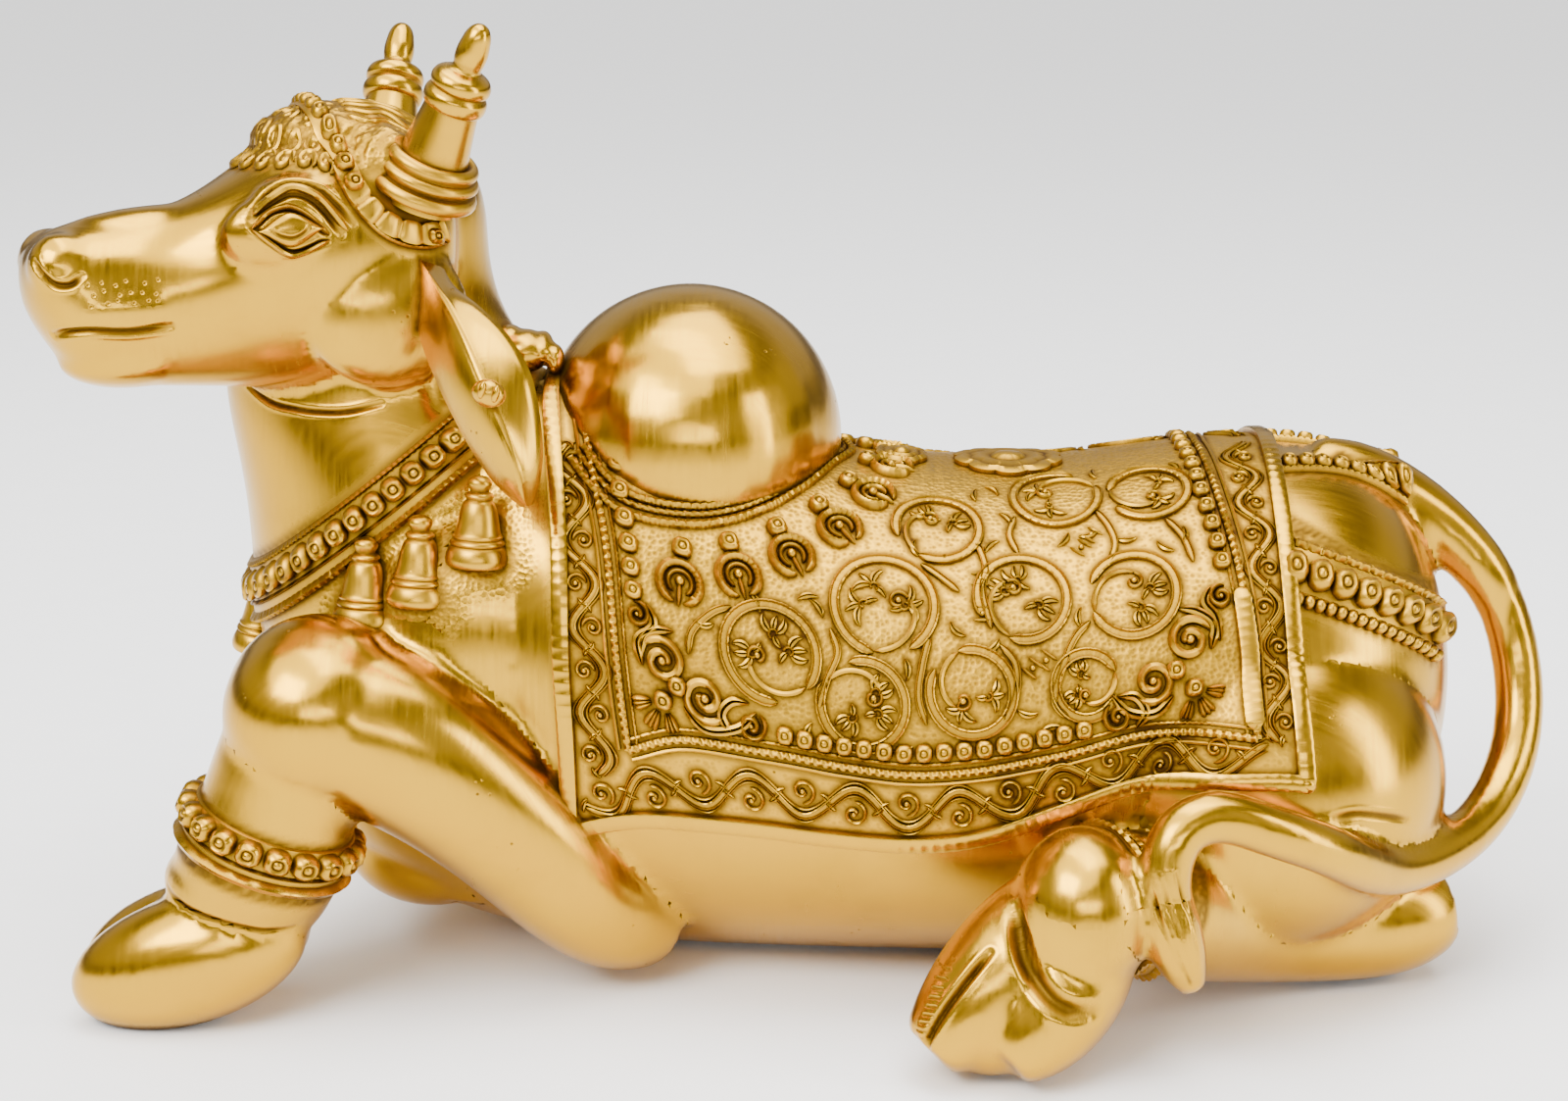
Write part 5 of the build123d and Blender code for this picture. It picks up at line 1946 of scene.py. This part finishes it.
# %% Neck band
R = 46.0
neck_map = wrapped((-110, 0, 133), (-0.610, 0, 0.792), (0.792, 0, 0.610), R, 9)
band = Relief(base=0)
first, last = math.radians(28) * R, math.radians(332) * R
run_round(band, first, last, -0.7, 7.3, 1.5, FLAT)
run_round(band, first, last, 5.9, 0.9, 2.5, ROUND, pitch=2.0, twist=0.4)
run_round(band, first, last, -3.1, 0.7, 2.5, ROUND)
run_round(band, first, last, -6.5, 1.5, 3.3, ROUND, pitch=2.2, twist=0.45)
cast(band.piece("neck_band_ropes", neck_map, (1,)), CHASED_BRASS, "neck_band")
row = Relief(base=0.9)
for x in np.arange(first + 4, last - 2, 6.9):
    row.set(RING_BEAD, x, 1.5, 3.25, high=1.3)
cast(row.piece("neck_band_bead_row", neck_map, (1,)), CHASED_BRASS, "neck_band_beads")

# %% Bells
BELL = 1.13 * np.array([(0.3, 1.6), (4.6, 1.0), (5.6, 0.1), (6.9, 0.3), (7.4, 1.6), (7.1, 3.4), (6.5, 4.7), (6.1, 5.0),
        (6.5, 5.6), (6.2, 6.3), (5.7, 6.6), (6.0, 7.2), (5.5, 7.9), (5.0, 10), (4.4, 13), (3.7, 15),
        (3.0, 15.9), (3.5, 16.6), (3.1, 17.3), (2.2, 17.8), (2.6, 18.7), (2.9, 19.7), (2.3, 20.8),
        (0.9, 21.4), (0.1, 21.5)])
for label, side in (("left", 1), ("right", -1)):
    for i, (x, y, z) in enumerate(((-81.2, -50.0, 120.6), (-97, -51, 110.2), (-112, -48, 103.4)), 1):
        foot = Vector((x, y * side, z))
        tip = Vector((0.06, 0.10 * side, 1))
        bell = turned(f"bell_{label}_{i}_cast", BELL, foot, tip, 36, 0.4)
        depth_by_outline(bell, foot, tip, BELL, 0.4, 36)
        drops = [pellet((x + dx, y * side - side * 1.0, z - 0.6), (1.1, 1.1, 1.3)) for dx in (-3, 2.4)]
        drops.append(pellet((x, y * side, z + 0.3), (2.2, 2.2, 2.0)))
        only(*drops, bell)
        bpy.ops.object.join()
        cast(bell, CHASED_BRASS, f"bell_{label}_{i}")
bell = turned("bell_front_cast", BELL, (-148.6, 0, 82.4), (0.12, 0, 1), 36, 0.4)
depth_by_outline(bell, (-148.6, 0, 82.4), (0.12, 0, 1), BELL, 0.4, 36)
cast(bell, CHASED_BRASS, "bell_front")

# %% Chest strap and anklets
strap_map = wrapped((-98, 0, 78), (-0.24, 0, 0.97), (-1, 0, -0.2), 50, 7)
strap = Relief(base=0)
for across, width, height, more in (
    (0, 5.4, 1.4, dict(profile=FLAT)),
    (4.4, 0.9, 2.2, dict(pitch=2.0, twist=0.4)),
    (-4.4, 0.9, 2.2, dict(pitch=2.0, twist=-0.4)),
    (1.5, 0.9, 2.0, dict(pitch=3.2, twist=0.8)),
    (-1.5, 0.9, 2.0, dict(pitch=3.2, twist=-0.8)),
):
    run_round(strap, -44, 44, across, width, height, **more)
cast(strap.piece("chest_strap_cast", strap_map, (1,)), CHASED_BRASS, "chest_strap")

for node, centre, axis, radius, beaded in (
    ("anklet_fore_left", (-138, -62, 49), (-4.5, 0, -12), 22, True),
    ("anklet_fore_right", (-66, 76, 13), (1, 0, 0), 13, False),
    ("anklet_hind_left", (87, -84, 43), (0.908, 0.406, 0.103), 19, False),
    ("anklet_hind_right", (87, 84, 43), (0.908, -0.406, 0.103), 19, False),
):
    ring_map = wrapped(centre, axis, (0, -1, 0.2), radius, 8, 1.3)
    ring = Relief(base=0)
    whole = 2 * math.pi * radius
    more = dict(ends=(0, 0))
    if beaded:
        run_round(ring, 0, whole + 0.5, -1, 7.0, 1.0, FLAT, **more)
        count_round = round(whole / 7.2)
        for k in range(count_round):
            ring.set(RING_BEAD, whole * k / count_round, -4.0, 3.5, high=1.35)
        run_round(ring, 0, whole + 0.5, 0.4, 0.75, 1.9, ROUND, **more)
        run_round(ring, 0, whole + 0.5, 3.8, 1.9, 2.9, ROUND, pitch=9, notch=0.06, **more)
    else:
        run_round(ring, 0, whole + 0.5, 0, 5.4, 1.2, FLAT, **more)
        run_round(ring, 0, whole + 0.5, 3.6, 1.5, 2.8, ROUND, pitch=2.6, twist=0.45, **more)
        run_round(ring, 0, whole + 0.5, 0, 1.3, 2.2, ROUND, pitch=3.4, notch=0.4, **more)
        run_round(ring, 0, whole + 0.5, -3.6, 1.5, 2.8, ROUND, pitch=2.6, twist=-0.45, **more)
    cast(ring.piece(node + "_cast", ring_map, (1,)), CHASED_BRASS if not beaded else SMOOTH_BRASS, node)

# %% [markdown]
# ## Straps over the rump and medallions on the spine
#
# A narrow strap and a broad fringed one run back from the cloth to the root of the tail. On
# the spine lie two scalloped medallions, seen here almost from the edge.

# %% Crupper
def on_rump(x, z, lift):
    """Carries relief onto the sides of the rump: along, height (negative on the right)."""
    places = []
    for along_body, height, off in zip(x, z, lift):
        side = -1 if height > 0 else 1
        place, normal = skin_at((along_body, side * 150, abs(height)), (0, -side, 0))
        places.append(place + normal * off)
    return np.array(places), None


def on_back(x, y, lift):
    places = []
    for along_body, across, off in zip(x, y, lift):
        place, normal = skin_at((along_body, -across, 260), (0, 0, -1))
        places.append(place + normal * off)
    return np.array(places), None


lower_strap = Relief(base=0)
way = curve([(131, 121), (146, 116), (160, 110), (172, 103), (178, 98)], 0.6)
lower_strap.line(way, 6.0, 1.6, FLAT, ends=(0, 1))
lower_strap.line(way + [1.0, 5.0], 1.3, 3.0, ROUND, pitch=2.2, twist=0.45, ends=(0, 1))
lower_strap.line(way - [1.0, 5.4], 0.8, 2.0, ROUND, pitch=2.8, notch=0.5, ends=(0, 1))
for x, z in way[6:-4:11]:
    lower_strap.set(RING_BEAD, x, z - 0.6, 3.5, high=1.5)
for x, z in way[4:-2:5]:
    lower_strap.set(BOSS, x - 1.2, z - 6.4, 1.7, high=1.6)
lower_piece = lower_strap.piece("crupper_straps", on_rump)
upper_strap = Relief(base=0)
way = curve([(131, 17), (146, 14.4), (160, 11.4), (172, 7.5)], 0.6)
upper_strap.line(way, 3.3, 1.4, FLAT, ends=(0, 1))
upper_strap.line(way + [0, 2.7], 0.6, 2.0, ROUND, pitch=1.8, twist=0.4, ends=(0, 1))
upper_strap.line(way - [0, 2.7], 0.6, 2.0, ROUND, pitch=1.8, twist=0.4, ends=(0, 1))
for x, y in way[4:-2:8]:
    upper_strap.set(RING_BEAD, x, y, 2.3, high=1.6)
upper_piece = upper_strap.piece("crupper_upper", on_back)
only(upper_piece, lower_piece)
bpy.ops.object.join()
cast(lower_piece, CHASED_BRASS, "crupper_left", "crupper_right")

# %% Spine medallions
plates = Relief()
for x, length, across, lobes in ((62.5, 15, 12.5, 10), (32.4, 7.2, 8.5, 8)):
    around = np.linspace(0, 2 * math.pi, lobes * 10, endpoint=False)
    lobed = 1 + 0.10 * np.abs(np.sin(around * lobes / 2)) ** 0.7 - 0.05
    flat, deep, rings = [], [], [(1.0, -0.6, 1), (1.0, 1.3, 0.3), (0.86, 2.1, 0), (0.7, 1.5, 0.9),
                                 (0.55, 2.2, 0), (0.34, 1.6, 0.8), (0.24, 2.6, 0), (0.05, 3.0, 0)]
    for share, lift, dark in rings:
        shape = 1 + (lobed - 1) * (1 if share > 0.6 else 0.4)
        flat += [(x + length * share * s * math.cos(a), across * share * s * math.sin(a), CLOTH + lift)
                 for a, s in zip(around, shape)]
        deep += [dark] * len(around)
    n = len(around)
    faces = [(r * n + k, r * n + (k + 1) % n, (r + 1) * n + (k + 1) % n, (r + 1) * n + k)
             for r in range(len(rings) - 1) for k in range(n)]
    faces += [tuple(range(n)), tuple(range((len(rings) - 1) * n, len(rings) * n))]
    plates.put(flat, faces, deep)
cast(plates.piece("spine_rosettes", None, (1,)), CHASED_BRASS, "spine_medallion")
# %% [markdown]
# Last of all the figure was darkened and wiped. The dark stays on the skin close beside every
# ornament, and most of all round the bells, where the ground is punched as well.

# %% Patina beside the ornaments
def reach_of(labels):
    spots = np.concatenate([
        places_of(piece)[::2] for piece in bpy.data.objects
        if piece.type == "MESH" and any(word in piece.name for word in labels)])
    tree = KDTree(len(spots))
    for i, spot in enumerate(spots):
        tree.insert(spot, i)
    tree.balance()
    return tree


close_by = reach_of(("neck_band_", "anklet_", "horn_rings", "ear_leaf", "crupper_", "brow_band_", "strap_cast",
                     "bell_", "knot_cast", "forelock_hair"))
by_bell = reach_of(("bell_left", "bell_right", "bell_front"))
for name, piece in castings.items():
    recess, ground = read(piece, "recess"), read(piece, "ground")
    for i, place in enumerate(places_of(piece)):
        distance = close_by.find(place)[2]
        recess[i] = max(recess[i], 0.9 * math.exp(-((distance / 1.5) ** 2)))
        if name in ("neck", "trunk"):
            distance = by_bell.find(place)[2]
            ground[i] = max(ground[i], min(max((9 - distance) / 4, 0), 1))
            recess[i] = max(recess[i], 0.85 * math.exp(-((distance / 3.2) ** 2)))
    worn(piece, recess, ground)
